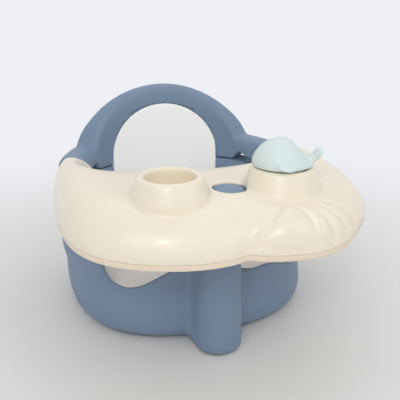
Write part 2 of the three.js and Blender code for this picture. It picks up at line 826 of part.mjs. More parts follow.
function makeBackrest() {
  const outside = lofted(archSections(0));
  const web = box(-wall / 2, wall / 2, -rimWidth / 2, rimWidth / 2, 0, overrun * 2);
  const boss = upright(bossRadius, 0, overrun * 2, smallSegments);
  const bosses = joined(backScrewPlaces.map(([x, y]) => {
    const outward = THREE.MathUtils.radToDeg(Math.atan2(y, x)) - 90;
    return moved(boss.add(web.rotate([0, 0, outward])), x, y, seamHeight + restGap);
  }));
  let shell = outside.subtract(lofted(archSections(wall))).add(bosses.intersect(outside));
  for (const [x, y] of backScrewPlaces) {
    shell = shell.subtract(screwBore(x, y, seamHeight - overrun, seamHeight + screwLength));
  }
  addPiece('backrest_shell', shell.subtract(padBody(restGap)), blue);
}

function makePads() {
  addPiece('back_pad', padBody(0), white);
  const low = panHeight + restGap;
  const high = low + matThickness;
  const bearings = bothSides(halfBearings);
  const ring = (inset, heightAt) => bearings.map((b) => polar(b, innerRadiusAt(b) - inset, heightAt(b)));
  const centre = (z) => bearings.map((b) => polar(b, innerRadiusAt(b) * 0.4, z));
  const mat = lofted([centre(low), ring(rimRound + restGap, () => low),
    ring(restGap * 2, (b) => panEdgeTop(b) + restGap), ring(restGap * 2 + padRound / 2, () => high),
    centre(high)]);
  addPiece('seat_mat', mat, white);
}

function makeCups() {
  const lipOuter = cupRadius;
  const profile = [
    [0, cupHollow], [lipOuter * 0.5, cupHollow * 0.8], [lipOuter - cupLip, 0], [lipOuter, 0],
    [lipOuter, cupLip / 2], [lipOuter * 0.6, cupHeight - cupLip], [cupNeckRadius * 1.4, cupHeight],
    [cupNeckRadius, cupHeight], [cupNeckRadius, cupHeight + cupNeckLength], [0, cupHeight + cupNeckLength],
  ];
  for (const [place, [x, y]] of Object.entries(cupPlaces)) {
    addPiece(`suction_cup_${place}`, moved(turned(profile), x, y, 0), rubber);
  }
}

function makeScrewSet(name, places, headZ) {
  places.forEach(([x, y], i) => addPiece(`${name}_${i + 1}`, screw(x, y, headZ, screwLength), steel));
}

function makeScrews() {
  makeScrewSet('backrest_screw', backScrewPlaces, seamHeight - wall - restGap);
  makeScrewSet('post_screw', headScrewPlaces, postTopHeight - wall - restGap);
  makeScrewSet('tray_screw', trayScrewPlaces, trayFloorHeight - restGap);
}

const leafTopHeight = trayTopAt(leafX, leafY);
const headTopHeight = leafTopHeight - wall - restGap;
const pocketFloor = leafTopHeight - buttonDrop - buttonDepth - springLength;

function makeButton() {
  const low = postTopHeight + restGap;
  let head = oval(headHalfWidth, headHalfDepth, low, headTopHeight);
  const guideLow = pocketFloor + springLength - buttonTravel - slideGap * 2;
  head = head.subtract(leafPrism(slideGap, guideLow, headTopHeight + overrun));
  head = head.subtract(moved(upright(springRadius + slideGap, pocketFloor, headTopHeight, smallSegments),
    leafX, leafY, 0));
  const stemBore = upright(buttonStemRadius + slideGap, low - overrun, headTopHeight, smallSegments);
  head = head.subtract(moved(stemBore, leafX, leafY, 0));
  for (const [x, y] of headScrewPlaces) {
    head = head.subtract(screwBore(x, y, low - overrun, low + screwLength));
  }
  addPiece('post_head', head, blue);

  const top = leafTopHeight - buttonDrop;
  const crown = ellipsoid(leafHalfWidth * 1.6, leafHalfWidth * 1.4, buttonDepth + buttonCrown);
  const body = leafPrism(0, top - buttonDepth, top + buttonCrown)
    .intersect(moved(crown, leafX, leafY, top - buttonDepth));
  const stem = upright(buttonStemRadius, top - buttonDepth - buttonStemLength, top - wall, smallSegments);
  addPiece('release_button', body.add(moved(stem, leafX, leafY, 0)), blue);
}

function makeSpring() {
  const low = pocketFloor + springWireRadius + restGap;
  const high = leafTopHeight - buttonDrop - buttonDepth - springWireRadius - restGap;
  const steps = springTurns * springStepsPerTurn;
  const points = Array.from({ length: steps + 1 }, (_, i) => {
    const height = lerp(low, high, i / steps);
    const p = polar((i / springStepsPerTurn) * 360, springRadius - springWireRadius, height);
    return p.setX(p.x + leafX).setY(p.y + leafY);
  });
  const path = new THREE.CatmullRomCurve3(points);
  const wire = new THREE.Shape().absarc(0, 0, springWireRadius, 0, Math.PI * 2);
  const geometry = new THREE.ExtrudeGeometry(wire, { steps, extrudePath: path, curveSegments: 3 });
  addPiece('button_spring', solid(geometry), steel);
}

function makeTrayTop() {
  const sockets = [-socketX, socketX];
  const outside = trayBody(0, traySeamHeight);
  const bosses = trayScrewPlaces.map(([x, y]) => (
    moved(upright(bossRadius, traySeamHeight, deckHeight, smallSegments), x, y, 0)
  ));
  const collar = oval(headHalfWidth + wall + slideGap, headHalfDepth + wall + slideGap, traySeamHeight,
    deckHeight);
  const hollow = joined([trayBody(wall, traySeamHeight - overrun), ...sockets.map(frustumHollow)]);
  const relief = outside.subtract(scallopRecess()).add(scallop());
  let shell = joined([relief, ...sockets.map(frustum)]).subtract(hollow);
  shell = joined([shell, joined([...bosses, collar]).intersect(outside), ...sockets.map(socketCup)]);
  const bores = trayScrewPlaces.map(([x, y]) => (
    screwBore(x, y, traySeamHeight - overrun, trayFloorHeight + screwLength + wall)
  ));
  const headRoom = oval(headHalfWidth + slideGap, headHalfDepth + slideGap, traySeamHeight - overrun,
    headTopHeight + restGap);
  const pinPlay = tablePinRadius + slideGap;
  const pin = upright(pinPlay, socketFloorHeight - overrun, socketTopHeight, smallSegments);
  const cuts = [...bores, ...sockets.map(socketBore), headRoom, moved(pin, socketX, socketY, 0),
    leafPrism(leafGap, headTopHeight, leafTopHeight + overrun), armPassage()];
  addPiece('tray_top_shell', shell.subtract(joined(cuts)).asOriginal().simplify(sliverSize), cream);
}

// What the arms' plugs need free when the tray comes down over them.
function armPassage() {
  const side = (sign) => {
    const section = (b) => {
      const inner = armInnerRadius(b) + plugInset - slideGap;
      const outer = squareRadius(b) + armProud - plugInset + slideGap;
      const top = armTopHeight - plugTopInset + restGap;
      const low = traySeamHeight - overrun * 2;
      const round = (outer - inner) * 0.4;
      const soft = round * 0.3;
      return [
        [inner, low], [inner, top - round], [inner + soft, top - soft], [inner + round, top],
        [outer - round, top], [outer - soft, top - soft], [outer, top - round], [outer, low],
      ].map(([radius, height]) => polar(sign * b, radius, height));
    };
    return lofted([armEndBearing - 0.5, ...plugBearings.slice(1), plugBearing + 4].map(section));
  };
  return side(1).add(side(-1));
}

function makeTrayBottom() {
  const first = outerEdge.findIndex((p) => p.y < floorStartY);
  const kept = outerEdge.slice(first, traySteps + 1 - first);
  const top = traySeamHeight - restGap;
  const pan = lofted(kept.map((outer, i) => {
    const belly = bellyEdge[first + i];
    const inward = outer.clone().sub(belly).normalize();
    const at = (from, inset, z) => from.clone().addScaledVector(inward, inset).setZ(z);
    const low = trayFloorHeight;
    return [
      at(belly, 0, top), at(belly, 0, low + wall), at(belly, wall, low), at(outer, -wall, low),
      at(outer, 0, low + wall), at(outer, 0, top), at(outer, -wall, top),
      at(outer, -wall * 1.5, low + wall),
      at(belly, wall * 1.5, low + wall), at(belly, wall, top),
    ];
  }));
  let shell = pan.subtract(oval(headHalfWidth + wall * 2, headHalfDepth + wall * 2,
    trayFloorHeight - overrun, traySeamHeight + overrun));
  for (const [x, y] of trayScrewPlaces) {
    shell = shell.add(moved(upright(bossRadius, trayFloorHeight, top, smallSegments), x, y, 0));
    shell = shell.subtract(screwBore(x, y, trayFloorHeight - overrun, traySeamHeight + overrun));
  }
  addPiece('tray_bottom_shell', shell, cream);
}

function keyBar(grown, low, high) {
  const length = keyLength / 2 + grown;
  const half = keyHalfWidth + grown;
  return box(-length, length, -half, half, low, high);
}

function makeToy() {
  const tableLow = socketFloorHeight + restGap;
  const tableTop = tableLow + tableThickness;
  const pinLow = socketFloorHeight - wall - restGap;
  const pinBore = upright(screwRadius + screwPlay, pinLow - overrun, tableTop - restGap, smallSegments);
  const table = upright(tableRadius, tableLow, tableTop)
    .add(keyBar(0, tableTop - restGap, tableTop + keyHeight).rotate([0, 0, whaleYaw]))
    .add(upright(tablePinRadius, pinLow, tableTop - restGap, smallSegments));
  addPiece('toy_turntable', moved(table.subtract(pinBore), socketX, socketY, 0), mint);

  const washerTop = pinLow - restGap;
  const washerThickness = screwRadius;
  const washer = upright(tablePinRadius * 2, washerTop - washerThickness, washerTop, smallSegments)
    .subtract(upright(screwRadius + screwPlay, washerTop - overrun, washerTop + overrun, smallSegments));
  addPiece('turntable_washer', moved(washer, socketX, socketY, 0), steel);
  addPiece('turntable_screw', screw(socketX, socketY, washerTop - washerThickness - restGap,
    tableScrewLength), steel);

  makeWhale(tableTop + restGap);
}

// A dome, high at the head and drawn down towards the tail.
function whaleHull(inset) {
  const geometry = new THREE.SphereGeometry(1, roundSegments, roundSegments / 2);
  geometry.rotateX(Math.PI / 2);
  const places = geometry.attributes.position;
  for (let i = 0; i < places.count; i += 1) {
    const tail = smoothstep(places.getX(i), -0.1, 1);
    places.setX(i, places.getX(i) * (whaleHalfLength - inset));
    places.setY(i, places.getY(i) * (whaleHalfWidth - inset) * lerp(1, 0.85, tail));
    places.setZ(i, places.getZ(i) * (whaleHeight - inset) * lerp(1, 0.4, tail));
  }
  return solid(geometry);
}

// The tail is one blade that rises from the body, widens and ends in two lobes.
function tailRings() {
  return [0, 0.25, 0.45, 0.62, 0.78, 0.9, 0.97, 1].map((share) => {
    const x = lerp(tailStart, flukeReach, share);
    const z = lerp(tailRadius * 0.8, flukeHeight, share ** 1.5);
    const tip = Math.sqrt(1 - smoothstep(share, 0.8, 1) ** 2 * 0.9);
    const halfWidth = lerp(tailHalfWidth, flukeHalfSpan, smoothstep(share, 0.5, 0.9)) * tip;
    const halfHeight = lerp(tailRadius, flukeThickness / 2, smoothstep(share, 0, 0.9)) * tip;
    return Array.from({ length: 16 }, (_, k) => {
      const angle = (k / 16) * Math.PI * 2;
      const side = Math.cos(angle);
      const back = flukeNotch * share ** 6 * (1 - Math.abs(side));
      const rise = Math.sin(angle) * halfHeight;
      return new THREE.Vector3(x - back - rise * share * 0.6, side * halfWidth, z + rise);
    });
  });
}

function makeWhale(plugLow) {
  const belly = socketTopHeight + restGap * 3;
  const half = box(-trayLength, trayLength, -trayLength, trayLength, 0, trayLength);
  const dome = whaleHull(0);
  const inner = whaleHull(whaleWall);
  const tail = lofted(tailRings());
  const flipper = (side) => ellipsoid(flipperLength, flipperWidth, flipperThickness, smallSegments)
    .rotate([side * 25, 20, side * -35])
    .translate([-whaleHalfLength * 0.15, side * whaleHalfWidth * 0.97, flipperThickness * 2]);
  const body = joined([dome, tail, flipper(1), flipper(-1)]).intersect(half);
  const place = (piece) => moved(piece.rotate([0, 0, whaleYaw]), socketX, socketY, 0);
  addPiece('whale_body', place(moved(body.subtract(inner), 0, 0, belly)), mint);

  const plate = whaleHull(whaleWall + restGap)
    .intersect(box(-trayLength, trayLength, -trayLength, trayLength, restGap, whaleWall));
  const plug = upright(whalePlugRadius, plugLow, belly + whaleWall)
    .subtract(upright(whalePlugRadius - whaleWall, plugLow - overrun, belly - whaleWall))
    .subtract(keyBar(slideGap, plugLow - overrun, plugLow + keyHeight + restGap));
  addPiece('whale_base', place(moved(plate, 0, 0, belly).add(plug)), mint);
}

makeTub();
makeBackrest();
makePads();
makeCups();
makeButton();
makeSpring();
makeTrayTop();
makeTrayBottom();
makeScrews();
makeToy();

// The model's origin is under the middle of the whole seat, on the bath floor.
const middle = new THREE.Box3().setFromObject(root).getCenter(new THREE.Vector3());
root.children.forEach((mesh) => mesh.position.setY(-middle.y));

export default root;
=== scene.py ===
# %% [markdown]
# # A baby bath seat
# A round tub with two leg openings carries an arched backrest and a play tray that lifts off.
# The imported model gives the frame: every length below is in millimetres from the tub's upright
# axis, and `spot` turns it into Blender's metres in that same frame.

# %% Load the frame
import bmesh
import bpy
import math
from mathutils import Matrix, Vector


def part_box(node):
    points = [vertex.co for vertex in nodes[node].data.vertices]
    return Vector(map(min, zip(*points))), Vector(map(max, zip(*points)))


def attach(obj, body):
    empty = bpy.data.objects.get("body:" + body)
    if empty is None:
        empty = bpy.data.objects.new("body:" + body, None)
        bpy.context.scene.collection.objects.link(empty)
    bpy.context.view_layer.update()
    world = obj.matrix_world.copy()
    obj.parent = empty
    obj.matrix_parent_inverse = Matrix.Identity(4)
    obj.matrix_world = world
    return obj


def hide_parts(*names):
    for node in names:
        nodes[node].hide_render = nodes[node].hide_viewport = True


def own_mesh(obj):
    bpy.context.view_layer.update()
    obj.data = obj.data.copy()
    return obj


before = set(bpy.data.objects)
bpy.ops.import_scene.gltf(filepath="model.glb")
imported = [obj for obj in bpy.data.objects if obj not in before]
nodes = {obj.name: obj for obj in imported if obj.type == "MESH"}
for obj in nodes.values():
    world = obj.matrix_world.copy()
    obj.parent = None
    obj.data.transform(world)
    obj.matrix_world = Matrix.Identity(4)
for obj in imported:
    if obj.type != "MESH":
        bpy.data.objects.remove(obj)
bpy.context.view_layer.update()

# %% [markdown]
# ## One place for the lengths
# The tub's axis is not in the middle of the whole seat, because the tray reaches out in front.
# The turntable sits at a known distance from that axis, so its box gives the shift.

# %% Lengths of the seat
SOCKET_X, SOCKET_Y = 55, -167
table_low, table_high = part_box("toy_turntable")
AXIS_Y = (table_low.y + table_high.y) / 2 * 1000 - SOCKET_Y

TUB_HALF_WIDTH, TUB_HALF_DEPTH, TUB_SQUARENESS = 145, 134, 2.4
BACK_SPREAD = 0.022
PAN_HEIGHT, SEAM_HEIGHT, SIDE_RIM_HEIGHT = 57, 141, 100
LEDGE_HEIGHT, LEDGE_CREST_HEIGHT, LOW_CREST_HEIGHT = 63, 88, 75
RIM_WIDTH, LEDGE_WIDTH, RIM_ROUND = 30, 7, 5
FLOOR_GAP, FLOOR_ROUND = 1.5, 22
BULGE_LOW, BULGE_MID, BULGE_TOP = 6, 14, 30
WAIST_HEIGHT, LIP_HEIGHT, LIP_PROUD, WAIST_SHARE = 61, 67, 4, 0.966
WALL, REST_GAP, SLIDE_GAP = 3, 0.3, 0.5
POST_TOP, POST_RADIUS, POST_TOP_RADIUS = 137, 26, 20
POST_CENTRE, POST_LEAN, POST_BLEND, POST_SLOPE, POST_BACK = 144, 9, 12, 3, 22
POST_FLOOR_ROUND = 8
CORNER = 0.3  # a round corner's middle point is this share of its radius inside both faces
print("tub axis at y =", round(AXIS_Y, 2), "mm")


def spot(x, y, z):
    """A place in metres in the frame, from millimetres about the tub's axis."""
    return Vector((x, y + AXIS_Y, z)) / 1000


def millimetres(place):
    """The way back from spot: millimetres about the tub's axis from a place in the frame."""
    return place.x * 1000, place.y * 1000 - AXIS_Y, place.z * 1000


def ease(value, low, high):
    """0 below low, 1 above high, and a smooth step between."""
    t = min(max((value - low) / (high - low), 0), 1)
    return t * t * (3 - 2 * t)


def mix(a, b, share):
    return a + (b - a) * share


def polar(bearing, radius, height):
    """A place at a bearing round the tub: 0 is the front, 90 is +X, 180 the back."""
    angle = math.radians(bearing)
    return spot(radius * math.sin(angle), -radius * math.cos(angle), height)


def section_at(bearing, points):
    """A ring in the upright plane at a bearing, from (radius, height) points."""
    return [polar(bearing, *point) for point in points]


# %% [markdown]
# ## Rings that become a skin
# A moulded wall is easiest to think of as a stack of closed rings. The first ring is a bmesh
# circle whose points are moved into place. Every next ring is an extrusion of the last one's
# edges, and the two ends are filled. A Subdivision Surface then rounds the skin, so a few dozen
# points a ring are enough, and each edge is as tight as its rings are close.

# %% Helper: sweep a skin through rings
SUBDIVISIONS, SAME_POINT, NEAR_POINT = 2, 1e-6, 1e-5


def loop_edges(bm, loop):
    return [bm.edges.get(pair) for pair in zip(loop, loop[1:] + loop[:1])]


def sweep_rings(bm, rings):
    """Extrude one loop of edges from ring to ring, and fill both ends."""
    start = bmesh.ops.create_circle(bm, segments=len(rings[0]), radius=1)["verts"]
    for vert, place in zip(start, rings[0]):
        vert.co = place
    loop = list(start)
    for ring in rings[1:]:
        made = bmesh.ops.extrude_edge_only(bm, edges=loop_edges(bm, loop))["geom"]
        fresh = {v for v in made if isinstance(v, bmesh.types.BMVert)}
        loop = [next(e.other_vert(v) for e in v.link_edges if e.other_vert(v) in fresh)
                for v in loop]
        for vert, place in zip(loop, ring):
            vert.co = place
    for end in (start, loop):
        bmesh.ops.edgeloop_fill(bm, edges=loop_edges(bm, end))
    return bm


def add_object(name, data):
    obj = bpy.data.objects.new(name, data)
    bpy.context.scene.collection.objects.link(obj)
    return obj


def piece_from(bm, name):
    """Turn a bmesh into a smooth-shaded object whose faces point outwards."""
    bmesh.ops.recalc_face_normals(bm, faces=bm.faces)
    mesh = bpy.data.meshes.new(name)
    bm.to_mesh(mesh)
    bm.free()
    mesh.shade_smooth()
    return add_object(name, mesh)


def swept(name, rings):
    return piece_from(sweep_rings(bmesh.new(), rings), name)


def opened(obj):
    """A bmesh of an object's mesh, to change by hand."""
    bm = bmesh.new()
    bm.from_mesh(obj.data)
    return bm


def closed(bm, obj):
    """Put a changed bmesh back into its object."""
    bm.to_mesh(obj.data)
    bm.free()
    return obj


def relax(bm, verts, passes):
    """Let points flow halfway towards the middle of their neighbours, some times over."""
    for _ in range(passes):
        bmesh.ops.smooth_vert(bm, verts=verts, factor=0.5, use_axis_x=True, use_axis_y=True,
                              use_axis_z=True)


def apply_modifiers(obj):
    """Keep the evaluated shape as the object's own mesh."""
    bpy.context.view_layer.update()
    graph = bpy.context.evaluated_depsgraph_get()
    shaped = bpy.data.meshes.new_from_object(obj.evaluated_get(graph))
    obj.modifiers.clear()
    old, obj.data = obj.data, shaped
    bpy.data.meshes.remove(old)
    return obj


def subdivided(obj):
    modifier = obj.modifiers.new("round_edges", "SUBSURF")
    modifier.levels = modifier.render_levels = SUBDIVISIONS
    return apply_modifiers(obj)


def combined(obj, others, operation):
    """Join or cut with other closed shapes, which are used up."""
    for other in others:
        modifier = obj.modifiers.new(operation.lower(), "BOOLEAN")
        modifier.operation, modifier.solver, modifier.object = operation, "EXACT", other
        apply_modifiers(obj)
        bpy.data.objects.remove(other)
    return obj


def moulded(obj, cell, passes):
    """Weld overlapping shapes into one skin of small cells and let its corners flow."""
    modifier = obj.modifiers.new("one_skin", "REMESH")
    modifier.mode, modifier.voxel_size = "VOXEL", cell
    bm = opened(apply_modifiers(obj))
    relax(bm, bm.verts, passes)
    closed(bm, obj).data.shade_smooth()
    return obj


def coat_with(obj, finish):
    obj.data.materials.clear()
    obj.data.materials.append(finish)


def settle(obj, body, slot, finish, *stands_for):
    """Give a finished piece its body, its material and the CAD nodes it stands for; its slot is
    not used.
    """
    coat_with(obj, finish)
    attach(obj, body)
    if stands_for:
        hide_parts(*stands_for)
    print(obj.name, len(obj.data.polygons), "faces")
    return obj


# %% [markdown]
# ## The plastics
# Moulded polypropylene is never one flat colour. The mould's fine spark grain breaks up the
# gloss, the pigment drifts a little, and handling polishes it in patches. Those three effects are
# one node group, `moulded_skin`, which each plastic uses with its own values. It puts out a
# colour, a roughness and a height, and the shader itself stays in each material.

# %% Shared effect: moulded skin
CLOUD_SCALE, WIPE_SCALE, WIPE_SWIRL = 14, 55, 0.6
WIPE_LOW, WIPE_HIGH, BUMP_STRENGTH = 0.3, 0.7, 0.5
SKIN_INPUTS = {"Pigment": (0.5, 0.5, 0.5, 1), "Drift": (0.45, 0.45, 0.45, 1),
               "Gloss low": 0.3, "Gloss high": 0.45, "Grain scale": 1500.0}
SKIN_OUTPUTS = {"Color": "NodeSocketColor", "Roughness": "NodeSocketFloat",
                "Height": "NodeSocketFloat"}


def set_inputs(node, **values):
    """Give a node's inputs their values; an underscore stands for a space in a name."""
    for name, value in values.items():
        node.inputs[name.replace("_", " ")].default_value = value
    return node


def wire(link, *wires):
    """Link sockets; each wire names a node, its output, another node and its input."""
    for source, outlet, target, inlet in wires:
        link(source.outputs[outlet], target.inputs[inlet])


def moulded_skin_group():
    group = bpy.data.node_groups.new("moulded_skin", "ShaderNodeTree")
    for name, value in SKIN_INPUTS.items():
        kind = "NodeSocketFloat" if isinstance(value, float) else "NodeSocketColor"
        made = group.interface.new_socket(name, in_out="INPUT", socket_type=kind)
        made.default_value = value
    for name, kind in SKIN_OUTPUTS.items():
        group.interface.new_socket(name, in_out="OUTPUT", socket_type=kind)
    tree, link = group.nodes, group.links.new
    inlet, outlet = tree.new("NodeGroupInput"), tree.new("NodeGroupOutput")
    place = tree.new("ShaderNodeTexCoord")
    cloud = set_inputs(tree.new("ShaderNodeTexNoise"), Scale=CLOUD_SCALE, Detail=3)
    grain = set_inputs(tree.new("ShaderNodeTexNoise"), Detail=4)
    wipe = set_inputs(tree.new("ShaderNodeTexNoise"), Scale=WIPE_SCALE, Detail=5,
                      Distortion=WIPE_SWIRL)
    colour = tree.new("ShaderNodeMix")
    colour.data_type = "RGBA"
    gloss = set_inputs(tree.new("ShaderNodeMapRange"), From_Min=WIPE_LOW, From_Max=WIPE_HIGH)
    wire(link, *[(place, "Object", texture, "Vector") for texture in (cloud, grain, wipe)],
         (inlet, "Grain scale", grain, "Scale"), (cloud, "Fac", colour, "Factor"),
         (inlet, "Pigment", colour, "A"), (inlet, "Drift", colour, "B"),
         (wipe, "Fac", gloss, "Value"), (inlet, "Gloss low", gloss, "To Min"),
         (inlet, "Gloss high", gloss, "To Max"), (colour, "Result", outlet, "Color"),
         (gloss, "Result", outlet, "Roughness"), (grain, "Fac", outlet, "Height"))
    return group


MOULDED_SKIN = moulded_skin_group()


def linear(red, green, blue):
    """An sRGB colour, from 0 to 255 as a screen shows it, in Blender's linear numbers."""
    shares = [c / 255 for c in (red, green, blue)]
    return (*[c / 12.92 if c <= 0.04045 else ((c + 0.055) / 1.055) ** 2.4 for c in shares], 1)


def plastic(name, pigment, drift, gloss, grain, depth, specular=0.5, metal=0.0,
            coat=0.0, shine=0.2):
    """A plastic whose two sRGB colours, gloss and grain go through the moulded_skin group."""
    material = bpy.data.materials.new(name)
    material.use_nodes = True
    tree, link = material.node_tree.nodes, material.node_tree.links.new
    shader = tree["Principled BSDF"]
    skin = tree.new("ShaderNodeGroup")
    skin.node_tree = MOULDED_SKIN
    set_inputs(skin, Pigment=linear(*pigment), Drift=linear(*drift), Gloss_low=gloss[0],
               Gloss_high=gloss[1], Grain_scale=grain)
    bump = set_inputs(tree.new("ShaderNodeBump"), Strength=BUMP_STRENGTH, Distance=depth)
    wire(link, (skin, "Color", shader, "Base Color"), (skin, "Roughness", shader, "Roughness"),
         (skin, "Height", bump, "Height"), (bump, "Normal", shader, "Normal"))
    set_inputs(shader, Specular_IOR_Level=specular, Metallic=metal, Coat_Weight=coat,
               Coat_Roughness=shine)
    return material


# %% Plastics and metal of the seat
DUSTY_BLUE = plastic("dusty_blue_plastic", (118, 139, 163), (112, 133, 157),
                     (0.42, 0.56), 1600, 0.00008)
CREAM = plastic("cream_plastic", (238, 228, 208), (234, 223, 201),
                (0.3, 0.42), 1300, 0.00005, coat=0.3, shine=0.12)
# The underside shell's cream is darker and warmer than the top shell's.
WARM_CREAM = plastic("cream_plastic_underside", (237, 220, 199), (231, 213, 191),
                     (0.32, 0.44), 1300, 0.00005, coat=0.2, shine=0.15)
MINT = plastic("mint_plastic", (214, 227, 225), (207, 222, 220),
               (0.4, 0.5), 1500, 0.00005)
SOFT_WHITE = plastic("white_foam", (253, 252, 251), (249, 249, 249),
                     (0.7, 0.85), 900, 0.00012, specular=0.3)
MILKY_RUBBER = plastic("milky_rubber", (200, 206, 212), (190, 197, 204),
                       (0.45, 0.6), 1100, 0.00008)
STAINLESS = plastic("stainless_steel", (190, 192, 196), (170, 173, 178),
                    (0.22, 0.34), 2200, 0.00003, metal=1.0)

# %% [markdown]
# ## The tub
# The tub and the post between the legs are one moulding. Its plan is a rounded square, its wall
# bulges over the floor, and its rim drops at the front on both sides of the post for the legs.
# Twenty-six stations describe how far out and how high the skin is at a bearing: from the pan,
# over the rim, down the outside, round the foot and up again in the hollow below. A soft maximum
# joins the round post to the wall with a hollow flank, as the mould does.

# %% Shape of the tub's wall
def rim_stations(crest):
    return [(0, POST_TOP), (7.5, POST_TOP), *crest, (46, LEDGE_HEIGHT + RIM_ROUND / 2),
            (50.5, LEDGE_HEIGHT + RIM_ROUND * 2), (53.5, SIDE_RIM_HEIGHT - RIM_ROUND),
            (58, SIDE_RIM_HEIGHT), (113, SIDE_RIM_HEIGHT), (122, SEAM_HEIGHT), (180, SEAM_HEIGHT)]


# Bearings between which a shape blends into another, in degrees from the front.
BACK_SPREADS, SIDE_STRAIGHTENS, WALL_WIDENS = (72, 105), (66, 88), (14, 40)
LEDGE_STARTS, LEDGE_ENDS = (15, 20), (54, 64)
RIM_ROUND_SHARE, RIM_OUT, RIM_DOWN = 0.4, 0.35, 0.2
LIP_TOP_SHARE, LIP_LOW_SHARE, PAN_SHARES, PAN_STEP = 0.92, 0.8, (0.35, 0.8), 0.1
RIGHT_RIM = rim_stations([(16, LEDGE_CREST_HEIGHT), (40, LEDGE_HEIGHT)])
LEFT_RIM = rim_stations([(13, LOW_CREST_HEIGHT + 1), (20, LOW_CREST_HEIGHT),
                         (27, LOW_CREST_HEIGHT + 3), (46, LEDGE_HEIGHT + 2)])
HALF_BEARINGS = [0, 2.5, 5, 7, 9, 11, 13.5, 17, 22, 28, 34, 40, 44, 47.5, 50.5, 52.5, 55, 59,
                 66, 74, 82, 91, 101, 109, 114, 118, 122, 127, 134, 144, 156, 168, 180]


def plan_radius(bearing):
    across = abs(math.sin(math.radians(bearing))) / TUB_HALF_WIDTH
    along = abs(math.cos(math.radians(bearing))) / TUB_HALF_DEPTH
    power = TUB_SQUARENESS
    radius = (across ** power + along ** power) ** (-1 / power)
    return radius * (1 + BACK_SPREAD * ease(abs(bearing), *BACK_SPREADS))


def rim_height(bearing):
    side = abs(bearing)
    stations = LEFT_RIM if bearing > 0 else RIGHT_RIM
    for (low, start), (high, end) in zip(stations, stations[1:]):
        if side <= high:
            return mix(start, end, ease(side, low, high))
    return SEAM_HEIGHT


def rim_width(bearing):
    side = abs(bearing)
    ledge = ease(side, *LEDGE_STARTS) * (1 - ease(side, *LEDGE_ENDS))
    return mix(mix(POST_BACK, RIM_WIDTH, ease(side, *WALL_WIDENS)), LEDGE_WIDTH, ledge)


def post_radius(bearing, height):
    side = math.radians(abs(bearing))
    radius = mix(POST_RADIUS, POST_TOP_RADIUS, ease(height, BULGE_TOP / 2, SEAM_HEIGHT))
    centre = POST_CENTRE + POST_LEAN * ease(height, BULGE_TOP, POST_TOP)
    offset = centre * math.sin(side)
    if side > math.pi / 2:
        return 0
    if offset > radius:
        return centre * math.cos(side) - (offset - radius) * POST_SLOPE
    return centre * math.cos(side) + math.sqrt(radius ** 2 - offset ** 2)


def soft_max(a, b, blend):
    near = max(blend - abs(a - b), 0) / blend
    return max(a, b) + near ** 2 * blend / 4


def undercut(height, round_radius):
    rise = min(max((round_radius - height) / round_radius, 0), 1)
    return round_radius * (1 - math.sqrt(1 - rise ** 2))


def outer_radius(bearing, height):
    side = ease(abs(bearing), *SIDE_STRAIGHTENS)
    waist = mix(1, mix(WAIST_SHARE, 1, side), ease(height, BULGE_TOP, WAIST_HEIGHT))
    lip = LIP_PROUD * side * ease(height, WAIST_HEIGHT, LIP_HEIGHT)
    wall = plan_radius(bearing) * waist + lip - undercut(height, FLOOR_ROUND)
    post = post_radius(bearing, height) - undercut(height, POST_FLOOR_ROUND)
    return soft_max(wall, post, POST_BLEND)


def inner_radius(bearing):
    return plan_radius(bearing) - rim_width(bearing)


# %% Model the tub
def rim_edge(b):
    return min(RIM_ROUND, rim_width(b) * RIM_ROUND_SHARE)


def rim_fall(b):
    return rim_height(b) - rim_edge(b)


def lip_top(b):
    return min(LIP_HEIGHT, mix(BULGE_TOP, rim_fall(b), LIP_TOP_SHARE))


def lip_low(b):
    return min(WAIST_HEIGHT, mix(BULGE_TOP, rim_fall(b), LIP_LOW_SHARE))


def hollow_inside(b):
    return min(inner_radius(b) + WALL, outer_radius(b, rim_fall(b)) - WALL * 1.5)


def hollow_top(b):
    return mix(PAN_HEIGHT - WALL, rim_height(b) - WALL, ease(rim_width(b), WALL * 3, WALL * 6))


def pan_edge_top(b):
    return min(PAN_HEIGHT + RIM_ROUND, rim_fall(b) - PAN_STEP)


def tub_section(b):
    """(radius, height) of each station of the tub's skin at a bearing."""
    inner, fall, edge = inner_radius(b), rim_fall(b), rim_edge(b)
    top = outer_radius(b, fall)
    roof = max(hollow_top(b), lip_low(b) - WALL / 2)
    return [
        *[(inner * share, PAN_HEIGHT) for share in PAN_SHARES],
        (inner - RIM_ROUND, PAN_HEIGHT), (inner, pan_edge_top(b)), (inner, fall),
        (inner + edge * RIM_OUT, rim_height(b) - edge * RIM_DOWN),
        (inner + edge, rim_height(b)), (top - edge, rim_height(b)),
        (top - edge * RIM_OUT, rim_height(b) - edge * RIM_DOWN), (top, fall),
        *[(outer_radius(b, z), z) for z in (
            lip_top(b), lip_low(b), mix(BULGE_TOP, lip_low(b), 0.5), BULGE_TOP, BULGE_MID,
            BULGE_LOW, FLOOR_GAP)],
        (outer_radius(b, FLOOR_GAP) - WALL, FLOOR_GAP),
        (outer_radius(b, BULGE_LOW) - WALL, BULGE_LOW + WALL / 2),
        (outer_radius(b, BULGE_TOP) - WALL, BULGE_TOP),
        (outer_radius(b, lip_low(b)) - WALL, lip_low(b) - WALL),
        (top - WALL, roof), (hollow_inside(b), roof), (hollow_inside(b), PAN_HEIGHT - WALL),
        *[(inner * share, PAN_HEIGHT - WALL) for share in reversed(PAN_SHARES)],
    ]


def both_sides(half):
    return [-b for b in reversed(half) if 0 < b < 180] + half


def make_tub():
    bearings = both_sides(HALF_BEARINGS)
    sections = [section_at(b, tub_section(b)) for b in bearings]
    return subdivided(swept("tub_moulding", list(zip(*sections))))


settle(make_tub(), "seat", "blue_plastic", DUSTY_BLUE, "lower_tub")

